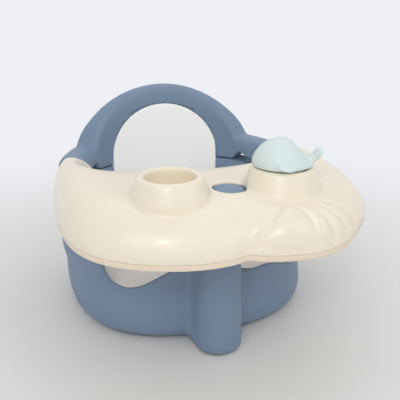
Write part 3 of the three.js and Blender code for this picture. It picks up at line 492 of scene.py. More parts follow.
# %% [markdown]
# ## The backrest
# The arch and its two arms are one hollow moulding that stands on the tub's back rim and reaches
# forward into the tray's sleeves. Its sections stand at bearings round the tub, each a rounded
# oblong of twelve points; where the arm leaves the tub, the underside lifts and leaves the arched
# slot that the photo shows. A boolean sinks the pad's recess, and the few folded slivers that it
# leaves along the recess are deleted, so the skin stays closed.

# %% Shape of the backrest
ARCH_TOP, ARCH_SPRING, ARCH_HALF_WIDTH, ARCH_TAPER, ARCH_ROUND = 245, 165, 119, 9, 10
ARM_TOP, ARM_WIDTH, ARM_UNDER, ARM_END_Y, ARM_PROUND = 174, 34, 149, -16, 1
SLOT_HEIGHT, PLUG_INSET, PLUG_TOP_INSET, MOUTH_Y, RECESS = 12, 4.5, 1.3, 32, 5
# Bearings between which the slot opens and closes and the sections blend from arm to arch.
SLOT_LIFTS, SLOT_ENDS, ARCH_STARTS = (116, 126), (126, 131), 120
WIDTH_BLENDS, PROUD_BLENDS, TAPER_BLENDS = (120, 135), (115, 129), (128, 140)
ARCH_FOOT_ROUND, WIDTH_ROUND_SHARE, HEIGHT_ROUND_SHARE = 1.2, 0.42, 0.45


def bearing_at(y, near):
    return 180 - math.degrees(math.acos(y / plan_radius(near)))


PLUG_BEARING, ARM_END_BEARING = bearing_at(MOUTH_Y, 102), bearing_at(ARM_END_Y, 84)
PLUG_BEARINGS = [ARM_END_BEARING, ARM_END_BEARING + 0.6, 88, 93, 98,
                 PLUG_BEARING - 0.4, PLUG_BEARING]


def arch_top(bearing):
    across = plan_radius(bearing) * math.sin(math.radians(abs(bearing)))
    inside = min(max(1 - (across / ARCH_HALF_WIDTH) ** 2, 0), 1)
    arch = ARCH_SPRING + (ARCH_TOP - ARCH_SPRING) * math.sqrt(inside)
    return max(arch, ARM_TOP) if abs(bearing) > ARCH_STARTS else ARM_TOP


def arch_under(bearing):
    side = abs(bearing)
    lift = ARM_UNDER + (SLOT_HEIGHT - (ARM_UNDER - SEAM_HEIGHT)) * ease(side, *SLOT_LIFTS)
    return mix(SEAM_HEIGHT + REST_GAP, lift, 1 - ease(side, *SLOT_ENDS))


def arch_section(bearing, plug):
    side = abs(bearing)
    inset = PLUG_INSET if plug else 0
    width = mix(ARM_WIDTH, RIM_WIDTH, ease(side, *WIDTH_BLENDS))
    inner = plan_radius(bearing) - width + inset
    outer = plan_radius(bearing) + mix(ARM_PROUND, LIP_PROUD, ease(side, *PROUD_BLENDS)) - inset
    top = arch_top(bearing) - (PLUG_TOP_INSET if plug else 0)
    under = arch_under(bearing)
    rise = min(max((top - SEAM_HEIGHT) / (ARCH_TOP - SEAM_HEIGHT), 0), 1)
    back = outer - ARCH_TAPER * rise * ease(side, *TAPER_BLENDS)
    r = min(ARCH_ROUND, (back - inner) * WIDTH_ROUND_SHARE, (top - under) * HEIGHT_ROUND_SHARE)
    s, foot = r * CORNER, ARCH_FOOT_ROUND
    return section_at(bearing, [
        (inner + foot, under), (inner, under + foot), (inner, mix(under, top, 0.5)),
        (inner, top - r), (inner + s, top - s), (inner + r, top), (back - r, top),
        (back - s, top - s), (back, top - r), (mix(outer, back, 0.5), mix(under, top, 0.5)),
        (outer, under + foot), (outer - foot, under)])


# %% Model the backrest with its recess for the pad
PAD_HALF_WIDTH, PAD_TOP, PAD_SPRING, PAD_BOTTOM = 73, 220, 150, 66
PAD_PROUD, PAD_ROUND, PAD_CROWN, PAD_EDGE_BEARING = 1.5, 2, 1.6, 141
PAD_COLUMNS = [0, 0.02, 0.05, 0.1, 0.17, 0.26, 0.38, 0.52, 0.68, 0.84, 1]
PAD_LEVELS = (0.25, 0.5, 0.75)


def pad_top(bearing, grown):
    across = inner_radius(bearing) * math.sin(math.radians(180 - abs(bearing)))
    inside = min(max(1 - (across / (PAD_HALF_WIDTH + grown)) ** 2, 0), 1)
    return PAD_SPRING + (PAD_TOP + grown - PAD_SPRING) * math.sqrt(inside)


def pad_rings(grown, crown=0.0):
    """Sections of the back pad; grown is the play of its recess, crown how far it swells."""
    edge = math.degrees(math.asin((PAD_HALF_WIDTH + grown) / inner_radius(PAD_EDGE_BEARING)))
    half = [180 - edge * (1 - share) for share in PAD_COLUMNS]
    turn = half + [360 - b for b in reversed(half[:-1])]
    rings = []
    for b in turn:
        bearing = b - 360 if b > 180 else b
        swell = crown * math.sqrt(max(1 - ((180 - abs(bearing)) / edge) ** 2, 0))
        front = inner_radius(bearing) - PAD_PROUD - grown * 4
        back = inner_radius(bearing) + RECESS - REST_GAP + grown
        low, top = PAD_BOTTOM - grown, pad_top(bearing, grown)
        r = PAD_ROUND
        s = r * CORNER
        crowned = [(front - swell * math.sqrt(4 * level * (1 - level)),
                    mix(low + r * 2, top - r * 2, level)) for level in PAD_LEVELS]
        rings.append(section_at(bearing, [
            (back, low), (front + r, low), (front + s, low + s), (front, low + r), *crowned,
            (front, top - r), (front + s, top - s), (front + r, top), (back, top),
            (back, mix(low, top, 0.5))]))
    return rings


# Bearings of the sections on one side, from the end of the plug to the top of the arch.
ARCH_HALF = [129.5, 131, 133, 135.5, 138.5, 142, 147, 153, 160, 167, 174, 180]
ARM_HALF = [PLUG_BEARING + 1.4, PLUG_BEARING + 1.9, 107, 111, 115, 118, 121, 124, 126, 127.5]


def make_backrest():
    half = [(b, True) for b in PLUG_BEARINGS] + [(b, False) for b in ARM_HALF + ARCH_HALF]
    turn = half + [(360 - b, plug) for b, plug in reversed(half) if b < 180]
    rings = [arch_section(b - 360 if b > 180 else b, plug) for b, plug in turn]
    shell = subdivided(swept("backrest_moulding", rings))
    combined(shell, [swept("pad_recess", pad_rings(REST_GAP))], "DIFFERENCE")
    bm = opened(shell)
    bmesh.ops.remove_doubles(bm, verts=bm.verts, dist=NEAR_POINT)
    bmesh.ops.triangulate(bm, faces=bm.faces)
    twins = {}
    for face in bm.faces:
        twins.setdefault(frozenset(face.verts), []).append(face)
    fins = [face for pair in twins.values() if len(pair) > 1 for face in pair]
    bmesh.ops.delete(bm, geom=fins, context="FACES")
    return closed(bm, shell)


settle(make_backrest(), "seat", "blue_plastic", DUSTY_BLUE, "backrest_shell")

# %% [markdown]
# ## The soft pad and the seat mat
# Both are closed-cell foam, cut and pressed to shape, so their faces crown a little between their
# edges. They are modelled as rings rather than by a cloth simulation, because pressed foam has
# no slack skin: it keeps a crisp rolled edge and shows no folds.

# %% Model the back pad and the mat
back_cushion = settle(subdivided(swept("back_cushion", pad_rings(0, PAD_CROWN))), "seat",
                      "white_foam", SOFT_WHITE, "back_pad")

MAT_THICKNESS, MAT_LOW_SHARE, MAT_TOP_SHARES = 5.5, 0.4, (0.7, 0.35)
MAT_EDGE = ((0.3, 0.2), (1.5, 0))  # how far in and how far down the rolled edge stands


def make_seat_mat():
    low, high = PAN_HEIGHT + REST_GAP, PAN_HEIGHT + REST_GAP + MAT_THICKNESS
    sections = []
    for b in both_sides([b for b in HALF_BEARINGS if b < 6 or b > 8]):
        reach = inner_radius(b)
        sections.append(section_at(b, [
            (reach * MAT_LOW_SHARE, low), (reach - RIM_ROUND - REST_GAP, low),
            (reach - REST_GAP * 2, pan_edge_top(b) + REST_GAP),
            *[(reach - (REST_GAP * 2 + inset), high - drop) for inset, drop in MAT_EDGE],
            *[(reach * share, high) for share in MAT_TOP_SHARES]]))
    return subdivided(swept("seat_foam", list(zip(*sections))))


seat_foam = settle(make_seat_mat(), "seat", "white_foam", SOFT_WHITE, "seat_mat")

# %% [markdown]
# ## The tray
# The tray is a crescent on the two arms and the post: a ribbon between an outer edge and the edge
# at the child's belly. Its top rolls down to the seam all round, wide at the front and tight at
# the sides. The crescent and the two sockets are separate closed shapes first; one voxel skin
# then welds them, and a few smoothing passes give the soft fillets of the moulding.

# %% Shape of the tray
TRAY_HALF_WIDTH, TRAY_LENGTH = 156.5, 270
DECK_CREASE = 0.05
SEAM_Z, TRAY_FLOOR, DECK, SLEEVE_TOP = 145, 138, 186, 176
FRONT_ROLL, SIDE_ROLL, SLEEVE_ROLL, BELLY_ROLL, ROLL_SHARPNESS = 54, 24, 14, 30, 2.3
DECK_FALL_Y, SIDE_ROLL_END_Y, FRONT_ROLL_Y, FLOOR_START_Y = -60, -110, -205, -30
TRAY_SHARES = [
    (-0.939, 0, -0.664, 0.052), (-0.984, 0.148, -0.684, 0.111), (-1, 0.304, -0.671, 0.207),
    (-0.997, 0.47, -0.62, 0.274), (-0.962, 0.648, -0.537, 0.307), (-0.875, 0.785, -0.447, 0.328),
    (-0.716, 0.885, -0.345, 0.344), (-0.479, 0.952, -0.23, 0.359), (-0.243, 0.978, -0.115, 0.368),
    (-0.077, 0.969, -0.038, 0.37), (0, 0.954, 0, 0.37), (0.083, 0.974, 0.038, 0.37),
    (0.268, 1, 0.121, 0.367), (0.46, 0.992, 0.224, 0.359), (0.635, 0.943, 0.32, 0.348),
    (0.78, 0.863, 0.409, 0.335), (0.904, 0.785, 0.486, 0.32), (0.949, 0.741, 0.537, 0.307),
    (0.984, 0.656, 0.575, 0.294), (1, 0.489, 0.626, 0.27), (1, 0.304, 0.671, 0.207),
    (0.984, 0.148, 0.684, 0.111), (0.939, 0, 0.664, 0.052)]
RIBBON_SHARES = [0, 0.02, 0.06, 0.12, 0.2, 0.31, 0.43, 0.55, 0.66, 0.76, 0.85, 0.91, 0.955,
                 0.985, 1]
EDGE_STEPS, GUIDE_STEPS, END_CREASE, FLOOR_CREASE = 3, 2, 0.06, 0.1
SLEEVE_ROLL_Y, LEAST_RISE, SKIRT, SKIRT_FLOOR = MOUTH_Y - 25, 5, 3, 4


def edge_through(places, steps):
    """Points of a smooth curve through places, with some steps between each two."""
    ends = [places[0] * 2 - places[1], *places, places[-1] * 2 - places[-2]]
    curve = []
    for p0, p1, p2, p3 in zip(ends, ends[1:], ends[2:], ends[3:]):
        for step in range(steps):
            t = step / steps
            curve.append(0.5 * (2 * p1 + (p2 - p0) * t + (2 * p0 - 5 * p1 + 4 * p2 - p3) * t ** 2
                                + (3 * p1 - p0 - 3 * p2 + p3) * t ** 3))
    return curve + [places[-1]]


def tray_edge(columns, steps):
    x, y = columns
    return edge_through([Vector((row[x] * TRAY_HALF_WIDTH, MOUTH_Y - row[y] * TRAY_LENGTH))
                         for row in TRAY_SHARES], steps)


OUTER_EDGE, BELLY_EDGE = tray_edge((0, 1), EDGE_STEPS), tray_edge((2, 3), EDGE_STEPS)
OUTER_GUIDE, BELLY_GUIDE = tray_edge((0, 1), GUIDE_STEPS), tray_edge((2, 3), GUIDE_STEPS)


def distance_to(edge, place):
    nearest = math.inf
    for start, end in zip(edge, edge[1:]):
        along = end - start
        t = min(max((place - start).dot(along) / along.length_squared, 0), 1)
        nearest = min(nearest, (start + along * t - place).length)
    return nearest


def edge_roll(distance, width):
    inward = min(max(distance / width, 0), 1)
    curve = (1 - (1 - inward) ** ROLL_SHARPNESS) ** (1 / ROLL_SHARPNESS)
    return curve * (1 - DECK_CREASE * (1 - inward))


def tray_top(x, y):
    place = Vector((x, y))
    front = ease(-y, -SIDE_ROLL_END_Y, -FRONT_ROLL_Y)
    side = mix(SIDE_ROLL, SLEEVE_ROLL, ease(y, DECK_FALL_Y, SLEEVE_ROLL_Y))
    outer = edge_roll(distance_to(OUTER_GUIDE, place), mix(side, FRONT_ROLL, front))
    belly = edge_roll(distance_to(BELLY_GUIDE, place), BELLY_ROLL)
    deck = mix(DECK, SLEEVE_TOP, ease(y, DECK_FALL_Y, MOUTH_Y))
    return SEAM_Z + (deck - SEAM_Z) * min(outer, belly)


def creased(rings, share):
    """Two more rings, one close to each end, that keep the ends crisp under the subdivision."""
    rings.insert(1, [a.lerp(b, share) for a, b in zip(rings[0], rings[1])])
    rings.insert(-1, [a.lerp(b, share) for a, b in zip(rings[-1], rings[-2])])
    return rings


def crescent():
    """The tray's body as sections across the ribbon."""
    rings = []
    for outer, belly in zip(OUTER_EDGE, BELLY_EDGE):
        across = [belly.lerp(outer, share) for share in RIBBON_SHARES]
        top = [spot(p.x, p.y, max(tray_top(p.x, p.y), SEAM_Z + LEAST_RISE)) for p in across]
        low = [spot(p.x, p.y, SEAM_Z - SKIRT) for p in (outer, belly)]
        flat = [spot(*outer.lerp(belly, share), SEAM_Z - SKIRT_FLOOR)
                for share in (0.01, 0.5, 0.99)]
        rings.append([*top, low[0], *flat, low[1]])
    return subdivided(swept("tray_moulding", creased(rings, END_CREASE)))


# %% Helper: turn a profile round an upright axis
def turned(name, profile, x, y, steps=64):
    """A closed solid of revolution from (radius, height) points that start and end on the axis."""
    bm = bmesh.new()
    verts = [bm.verts.new(spot(x + radius, y, height)) for radius, height in profile]
    edges = [bm.edges.new(pair) for pair in zip(verts, verts[1:])]
    bmesh.ops.spin(bm, geom=verts + edges, cent=spot(x, y, 0), axis=(0, 0, 1),
                   angle=math.tau, steps=steps, use_merge=True)
    bmesh.ops.remove_doubles(bm, verts=bm.verts, dist=SAME_POINT)
    return piece_from(bm, name)


SOCKET_TOP, SOCKET_BASE_R, SOCKET_TOP_R, SOCKET_BORE_R, SOCKET_FLOOR = 205, 37.5, 31, 23.5, 182


def socket_body(x):
    """The round frustum with a rolled rim, whose slope runs on below the deck."""
    top, foot = SOCKET_TOP, DECK
    slope = (SOCKET_BASE_R - SOCKET_TOP_R) / (top - 2 - foot)
    return turned("socket", [
        (0, foot - 12), (SOCKET_BASE_R + 1.5, foot - 12), (SOCKET_BASE_R, foot),
        (SOCKET_TOP_R + slope * 3, top - 5),
        (SOCKET_TOP_R - 0.2, top - 2), (SOCKET_TOP_R - 1.7, top - 0.5),
        (SOCKET_TOP_R - 3.6, top), (0, top)], x, SOCKET_Y)


def socket_bore(x):
    floor, top = SOCKET_FLOOR, SOCKET_TOP
    return turned("bore", [
        (0, floor), (SOCKET_BORE_R - 1.5, floor), (SOCKET_BORE_R - 0.4, floor + 0.5),
        (SOCKET_BORE_R, floor + 1.6), (SOCKET_BORE_R, top - 2.2), (SOCKET_BORE_R + 0.6, top - 0.8),
        (SOCKET_BORE_R + 2.2, top + 0.2), (SOCKET_BORE_R + 2.2, top + 6),
        (0, top + 6)], x, SOCKET_Y)


# %% [markdown]
# ## The scallop on the corner
# The scallop is a fan of four rounded lobes that open from a hinge beside the right socket. The
# grooves between them start at one bearing at the hinge and bend to another at the tray's edge.
# It is raised out of the finished skin: every point of the top that lies in the fan moves along
# its own normal by the height of the relief there.

# %% Height of the scallop's relief
HINGE, SCALLOP_END = Vector((40, -206)), 0.4
GROOVES = [(-54, -46), (35, 61), (57, 80), (74, 90), (88, 97)]
GROOVE_DEPTHS = [2.2, 1.6, 2.0, 2.4, 2.9]
LOBE_CRESTS = [3.4, 2.2, 1.2, 0.2]
LEFT_BANK, RIGHT_BANK, RIM_BULGE, RELIEF_PASSES = 10, 3.5, 2.4, 3
FAN_LOW, FAN_HIGH, REACH_STEP = -80, 120, 0.3
LOBE_SHAPE, LOBE_SOFTNESS, BULGE_SPAN = 2.4, 0.75, (9, 29)
FADE_HEIGHTS, FADE_DISTANCES = (SEAM_Z + 1, SEAM_Z + 10), (2, 10)


def scallop_reach(bearing):
    """Distance from the hinge to the tray's edge at a bearing."""
    way, reach = Vector((math.sin(bearing), -math.cos(bearing))), SCALLOP_END
    while distance_to(OUTER_GUIDE, HINGE + way * reach) > SCALLOP_END:
        reach += REACH_STEP
    return reach


REACHES = [scallop_reach(math.radians(bearing)) for bearing in range(FAN_LOW, FAN_HIGH + 1)]


def relief(x, y):
    """How far the scallop stands out of the tray's skin, or sinks into it, in millimetres."""
    away = Vector((x, y)) - HINGE
    bearing = math.degrees(math.atan2(away.x, -away.y))
    if not FAN_LOW + 1 < bearing < FAN_HIGH - 1:
        return 0
    low = int(bearing - FAN_LOW)
    share = min(away.length / mix(REACHES[low], REACHES[low + 1], bearing - FAN_LOW - low), 1)
    edges = [mix(at_hinge, at_edge, share) for at_edge, at_hinge in GROOVES]
    depth = ease(share, 0.02, 0.3)
    if bearing <= edges[0]:
        return -GROOVE_DEPTHS[0] * depth * (1 - ease(edges[0] - bearing, 0, LEFT_BANK))
    if bearing >= edges[-1]:
        beyond = bearing - edges[-1]
        bulge = RIM_BULGE * ease(share, 0.7, 1) * (1 - ease(beyond, *BULGE_SPAN))
        return mix(-GROOVE_DEPTHS[-1] * depth, bulge, ease(beyond, 0, RIGHT_BANK))
    k = max(i for i, edge in enumerate(edges[:-1]) if bearing > edge)
    across = (bearing - edges[k]) / (edges[k + 1] - edges[k])
    rounded = (1 - abs(2 * across - 1) ** LOBE_SHAPE) ** LOBE_SOFTNESS
    groove = mix(GROOVE_DEPTHS[k], GROOVE_DEPTHS[k + 1], across) * depth
    crest = LOBE_CRESTS[k] * ease(share, -0.1, 0.4) * (1 - share ** 10)
    return (groove + crest) * rounded - groove


def raise_scallop(bm):
    """Move the points of the tray's top that lie in the fan along their normals."""
    bm.normal_update()
    moves = []
    for vert in bm.verts:
        x, y, z = millimetres(vert.co)
        off_socket = math.hypot(x - SOCKET_X, y - SOCKET_Y) - SOCKET_BASE_R
        if z > SEAM_Z and off_socket > FADE_DISTANCES[0]:
            fade = ease(z, *FADE_HEIGHTS) * ease(off_socket, *FADE_DISTANCES)
            moves.append((vert, vert.normal * fade * relief(x, y) / 1000))
    for vert, move in moves:
        vert.co += move
    relax(bm, [vert for vert, move in moves if move.length > 0], RELIEF_PASSES)


# %% The leaf hole, the head's pocket and the sleeves
LEAF_HALF_WIDTH, LEAF_HALF_DEPTH, LEAF_TURN, LEAF_GAP = 16, 13.8, -48, 0.8
LEAF_X, LEAF_Y = 4, -160
HEAD_HALF_WIDTH, HEAD_HALF_DEPTH, CUT_BELOW = 19, 16.5, SEAM_Z - 8
HOLE_ROLL, PASSAGE_ROUND_SHARE, PASSAGE_FLOOR = 0.9, 0.4, SEAM_Z - 20
PASSAGE_BEARINGS = [ARM_END_BEARING - 0.5, 88, 93, 98, PLUG_BEARING, PLUG_BEARING + 5]


def leaf_outline(grown, steps=28):
    """Points round a pointed oval, in millimetres about its middle."""
    half_width, half_depth = LEAF_HALF_WIDTH + grown, LEAF_HALF_DEPTH + grown
    radius = (half_width ** 2 + half_depth ** 2) / (2 * half_depth)
    sweep = math.asin(half_width / radius)
    upper = [(radius * math.sin(mix(-sweep, sweep, k / steps)),
              radius * math.cos(mix(-sweep, sweep, k / steps)) - radius + half_depth)
             for k in range(steps)]
    turn = math.radians(LEAF_TURN)
    return [(x * math.cos(turn) - y * math.sin(turn), x * math.sin(turn) + y * math.cos(turn))
            for x, y in upper + [(-x, -y) for x, y in upper]]


def leaf_ring(grown, height):
    return [spot(LEAF_X + x, LEAF_Y + y, height) for x, y in leaf_outline(grown)]


def head_ring(grown, height, steps=48):
    """An oval round the head of the post, larger than the head by some millimetres."""
    return [spot(LEAF_X + (HEAD_HALF_WIDTH + grown) * math.cos(math.tau * k / steps),
                 LEAF_Y + (HEAD_HALF_DEPTH + grown) * math.sin(math.tau * k / steps), height)
            for k in range(steps)]


def leaf_cutter(top):
    rings = [leaf_ring(LEAF_GAP, z) for z in (CUT_BELOW, top - 1.5)]
    rings += [leaf_ring(LEAF_GAP + HOLE_ROLL, z) for z in (top + 0.4, top + 10)]
    return swept("leaf_hole", rings)


def head_pocket(top):
    return swept("head_pocket", [head_ring(SLIDE_GAP, z) for z in (CUT_BELOW, top)])


def arm_passage(sign):
    """What the arm's plug keeps free in the tray's sleeve, open below."""
    rings = []
    for b in PASSAGE_BEARINGS:
        inner = plan_radius(b) - ARM_WIDTH + PLUG_INSET - SLIDE_GAP
        outer = plan_radius(b) + ARM_PROUND - PLUG_INSET + SLIDE_GAP
        top, low = ARM_TOP - PLUG_TOP_INSET + REST_GAP, PASSAGE_FLOOR
        r = (outer - inner) * PASSAGE_ROUND_SHARE
        s = r * CORNER
        rings.append(section_at(sign * b, [
            (inner, low), (inner, top - r), (inner + s, top - s), (inner + r, top),
            (outer - r, top), (outer - s, top - s), (outer, top - r), (outer, low)]))
    return swept("sleeve_passage", rings)


# %% Model the tray's top shell
LEAF_TOP = tray_top(LEAF_X, LEAF_Y)
HEAD_TOP = LEAF_TOP - WALL - REST_GAP
TRAY_CELL, TRAY_PASSES, SHARP_ANGLE = 0.00125, 4, 50
FOOT_INSIDE, FOOT_OUTSIDE, FOOT_LOW, FOOT_PASSES = -3, 5, SEAM_Z + 15, 10


def soften_feet(bm):
    """Let the angle between each socket and the deck flow into a fillet."""
    ring = []
    for vert in bm.verts:
        x, y, z = millimetres(vert.co)
        away = math.hypot(abs(x) - SOCKET_X, y - SOCKET_Y)
        if FOOT_INSIDE < away - SOCKET_BASE_R < FOOT_OUTSIDE and z > FOOT_LOW:
            ring.append(vert)
    relax(bm, ring, FOOT_PASSES)


def make_tray_top():
    tray = crescent()
    tray = combined(tray, [socket_body(-SOCKET_X), socket_body(SOCKET_X)], "UNION")
    cutters = [socket_bore(-SOCKET_X), socket_bore(SOCKET_X), leaf_cutter(LEAF_TOP),
               head_pocket(HEAD_TOP + REST_GAP), arm_passage(1), arm_passage(-1)]
    tray = moulded(combined(tray, cutters, "DIFFERENCE"), TRAY_CELL, TRAY_PASSES)
    bm = opened(tray)
    soften_feet(bm)
    raise_scallop(bm)
    bmesh.ops.bisect_plane(bm, geom=bm.verts[:] + bm.edges[:] + bm.faces[:], clear_inner=True,
                           plane_co=spot(0, 0, SEAM_Z), plane_no=(0, 0, 1))
    bmesh.ops.triangle_fill(bm, edges=[e for e in bm.edges if e.is_boundary], use_beauty=True)
    bmesh.ops.recalc_face_normals(bm, faces=bm.faces)
    closed(bm, tray).data.shade_smooth()
    tray.data.set_sharp_from_angle(angle=math.radians(SHARP_ANGLE))
    return tray


settle(make_tray_top(), "tray", "cream_plastic", CREAM, "tray_top_shell")


# %% Model the tray's bottom shell
BOTTOM_ROUND, TOP_STEP = 2.5, 0.3


def make_tray_bottom():
    kept = [(o, b) for o, b in zip(OUTER_EDGE, BELLY_EDGE) if o.y < FLOOR_START_Y]
    top, low, edge = SEAM_Z - REST_GAP, TRAY_FLOOR, BOTTOM_ROUND
    s, step = edge * CORNER, TOP_STEP
    rings = []
    for outer, belly in kept:
        inward = (outer - belly).normalized()
        rings.append([spot(*(start + inward * inset), z) for start, inset, z in (
            (belly, step, top), (belly, 0, top), (belly, 0, top - step), (belly, 0, low + edge),
            (belly, s, low + s), (belly, edge, low), (belly.lerp(outer, 0.5), 0, low),
            (outer, -edge, low), (outer, -s, low + s), (outer, 0, low + edge),
            (outer, 0, top - step), (outer, 0, top), (outer, -step, top),
            (belly.lerp(outer, 0.5), 0, top))])
    pan = subdivided(swept("tray_underside", creased(rings, FLOOR_CREASE)))
    hole = swept("post_hole", [head_ring(WALL * 2, z) for z in (low - 10, top + 10)])
    return combined(pan, [hole], "DIFFERENCE")


settle(make_tray_bottom(), "tray", "cream_plastic", WARM_CREAM, "tray_bottom_shell")

# %% [markdown]
# ## The release button
# The blue leaf in the deck is the top of the release button. It is a pointed oval with a crowned
# top and a rounded edge, 0.8 mm clear of its hole all round, so a thin dark line shows there.

# %% Model the button
BUTTON_DEPTH, BUTTON_CROWN, BUTTON_DROP, STEM_RADIUS, STEM_LENGTH = 13, 1.6, 1.2, 3, 12
STEM_STEPS = 24


def make_button():
    top = LEAF_TOP - BUTTON_DROP
    button = swept("leaf_button", [leaf_ring(grown, height) for grown, height in (
        (0, top - BUTTON_DEPTH), (0, top - 1.2), (-0.4, top - 0.4), (-1.4, top),
        (-4, top + BUTTON_CROWN * 0.4), (-8, top + BUTTON_CROWN * 0.8))])
    foot = top - BUTTON_DEPTH - STEM_LENGTH
    profile = [(0, foot), (STEM_RADIUS, foot), (STEM_RADIUS, top - WALL), (0, top - WALL)]
    stem = turned("stem", profile, LEAF_X, LEAF_Y, STEM_STEPS)
    return combined(button, [stem], "UNION")


settle(make_button(), "button", "blue_plastic", DUSTY_BLUE, "release_button")


# %% [markdown]
# ### The return spring
# A coil of four turns under the leaf pushes it back up.

# %% Model the return spring
SPRING_LENGTH, SPRING_RADIUS, WIRE_RADIUS, SPRING_TURNS, BUTTON_TRAVEL = 15, 4.6, 0.6, 4, 4
TURN_STEPS, WIRE_SIDES = 24, 10


def make_spring(low, high):
    rings, steps = [], SPRING_TURNS * TURN_STEPS
    for step in range(steps + 1):
        around = math.tau * step / TURN_STEPS
        ring = []
        for k in range(WIRE_SIDES):
            side = math.tau * k / WIRE_SIDES
            radius = SPRING_RADIUS + WIRE_RADIUS * math.cos(side)
            height = mix(low, high, step / steps) + WIRE_RADIUS * math.sin(side)
            ring.append(spot(LEAF_X + radius * math.cos(around),
                             LEAF_Y + radius * math.sin(around), height))
        rings.append(ring)
    return swept("return_spring", rings)


spring_top = LEAF_TOP - BUTTON_DROP - BUTTON_DEPTH - REST_GAP
spring_foot = spring_top - SPRING_LENGTH + REST_GAP * 2
return_spring = settle(make_spring(spring_foot + WIRE_RADIUS, spring_top - WIRE_RADIUS), "seat",
                       "steel", STAINLESS, "button_spring")
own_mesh(return_spring)

# %% [markdown]
# ## The whale
# A generic bath whale: a dome with a high head, drawn down to a tail that rises as a thin blade
# and ends in two lobes, and a flipper on each side. The body and the flippers are squashed
# spheres, the tail is a short sweep, and one fine voxel skin welds them.

# %% Model the whale
WHALE_HALF_LENGTH, WHALE_HALF_WIDTH, WHALE_HEIGHT, WHALE_YAW = 30, 28, 26.5, -16
# How far back, how high, how wide and how thick the tail is at each of its sections.
TAIL_STATIONS = [(8, 5.5, 11, 7), (14, 4.6, 10.5, 6), (19, 4.3, 10, 5), (23, 4.4, 9.5, 4.3),
                 (26, 5.2, 8.6, 3.6), (28.5, 6.8, 8, 3.3), (30.5, 8.6, 8.2, 3),
                 (32.5, 10.6, 9, 2.8), (34.5, 12.8, 9.4, 2.5), (36.2, 14.8, 8, 2),
                 (37, 15.8, 5.5, 1.2)]
FLUKE_NOTCH, BLADE_LEAN, TAIL_SIDES = 2.5, 0.8, 24
BELLY_TUCK, TAIL_WIDTH, TAIL_HEIGHT, TAIL_FALL = 0.035, 0.88, 0.36, 1.05
FLIPPER, FLIPPER_OUT, FLIPPER_UP, FLIPPER_TURNS = (9, 4.6, 2.4), 0.97, 4, (-32, 10, -12)
WHALE_BELLY, BELLY_CUT = SOCKET_TOP + REST_GAP * 2, 0.4
WHALE_CELL, WHALE_PASSES = 0.00055, 9


def pebble(bm, size, place, turns=(0, 0, 0)):
    """A squashed sphere, turned about X, Y and Z in degrees, in millimetres about the whale."""
    made = bmesh.ops.create_uvsphere(bm, u_segments=32, v_segments=20, radius=1)["verts"]
    turn = Matrix.Identity(4)
    for angle, axis in zip(turns, "XYZ"):
        turn = Matrix.Rotation(math.radians(angle), 4, axis) @ turn
    place = Matrix.Translation(Vector(place))
    bmesh.ops.transform(bm, matrix=place @ turn @ Matrix.Diagonal((*size, 1)), verts=made)
    return made


def tail_ring(reach, height, half_width, half_height):
    """One section of the tail, which leaves the back, thins to a blade and ends in two lobes."""
    lean = ease(reach, 20, 34) * BLADE_LEAN
    ring = []
    for k in range(TAIL_SIDES):
        angle = math.tau * k / TAIL_SIDES
        side, rise = math.cos(angle), math.sin(angle) * half_height
        back = FLUKE_NOTCH * ease(reach, 30, 37) * (1 - abs(side))
        ring.append(Vector((reach - back - rise * lean, side * half_width, height + rise)))
    return ring


def make_whale():
    bm = bmesh.new()
    for vert in pebble(bm, (1, 1, 1), (0, 0, 0)):
        tail = 0.5 - 0.5 * math.cos(math.pi * max(vert.co.x, 0) / TAIL_FALL)
        tuck = 1 - BELLY_TUCK * (1 - ease(vert.co.z, 0, 0.14))
        vert.co = Vector((vert.co.x * WHALE_HALF_LENGTH * tuck,
                          vert.co.y * WHALE_HALF_WIDTH * mix(1, TAIL_WIDTH, tail) * tuck,
                          vert.co.z * WHALE_HEIGHT * mix(1, TAIL_HEIGHT, tail)))
    sweep_rings(bm, [tail_ring(*station) for station in TAIL_STATIONS])
    roll, pitch, yaw = FLIPPER_TURNS
    for side in (1, -1):
        pebble(bm, FLIPPER, (0, side * WHALE_HALF_WIDTH * FLIPPER_OUT, FLIPPER_UP),
               (side * roll, pitch, side * yaw))
    bmesh.ops.bisect_plane(bm, geom=bm.verts[:] + bm.edges[:] + bm.faces[:],
                           plane_co=(0, 0, BELLY_CUT), plane_no=(0, 0, -1), clear_outer=True)
    bmesh.ops.holes_fill(bm, edges=[e for e in bm.edges if e.is_boundary], sides=0)
    turn = Matrix.Rotation(math.radians(WHALE_YAW), 4, "Z")
    home = Matrix.Translation(spot(SOCKET_X, SOCKET_Y, WHALE_BELLY))
    bmesh.ops.transform(bm, matrix=home @ Matrix.Scale(0.001, 4) @ turn, verts=bm.verts)
    return moulded(piece_from(bm, "whale"), WHALE_CELL, WHALE_PASSES)


settle(make_whale(), "whale", "mint_plastic", MINT, "whale_body")

# %% [markdown]
# ## The pieces that keep their CAD shape
# The screws, the cups, the button's guide and the turntable are hidden under the tub, in the tray
# or in the socket. Their CAD solids are right, so they only get a finish.

# %% Finish the CAD nodes that stay
KEPT = {"post_head": DUSTY_BLUE, "toy_turntable": MINT, "whale_base": MINT}
for name, obj in nodes.items():
    finish = KEPT.get(name)
    if name.startswith("suction_cup"):
        finish = MILKY_RUBBER
    if "_screw" in name or "_washer" in name:
        finish = STAINLESS
    if finish:
        coat_with(obj, finish)
        print(name, "in", finish.name)

# %% [markdown]
# ## The studio
# The photo was taken in a white cove: a pale floor that runs up into a pale wall, broad soft
# light from the upper left and front, and only a faint shadow under the seat. The floor is a
# diffuse surface near the seat, so it holds the shadow, and turns into the backdrop's colour
# farther out. Only the rays that look at the background, straight or off a gloss, see that
# colour, so it puts no more light on the seat.

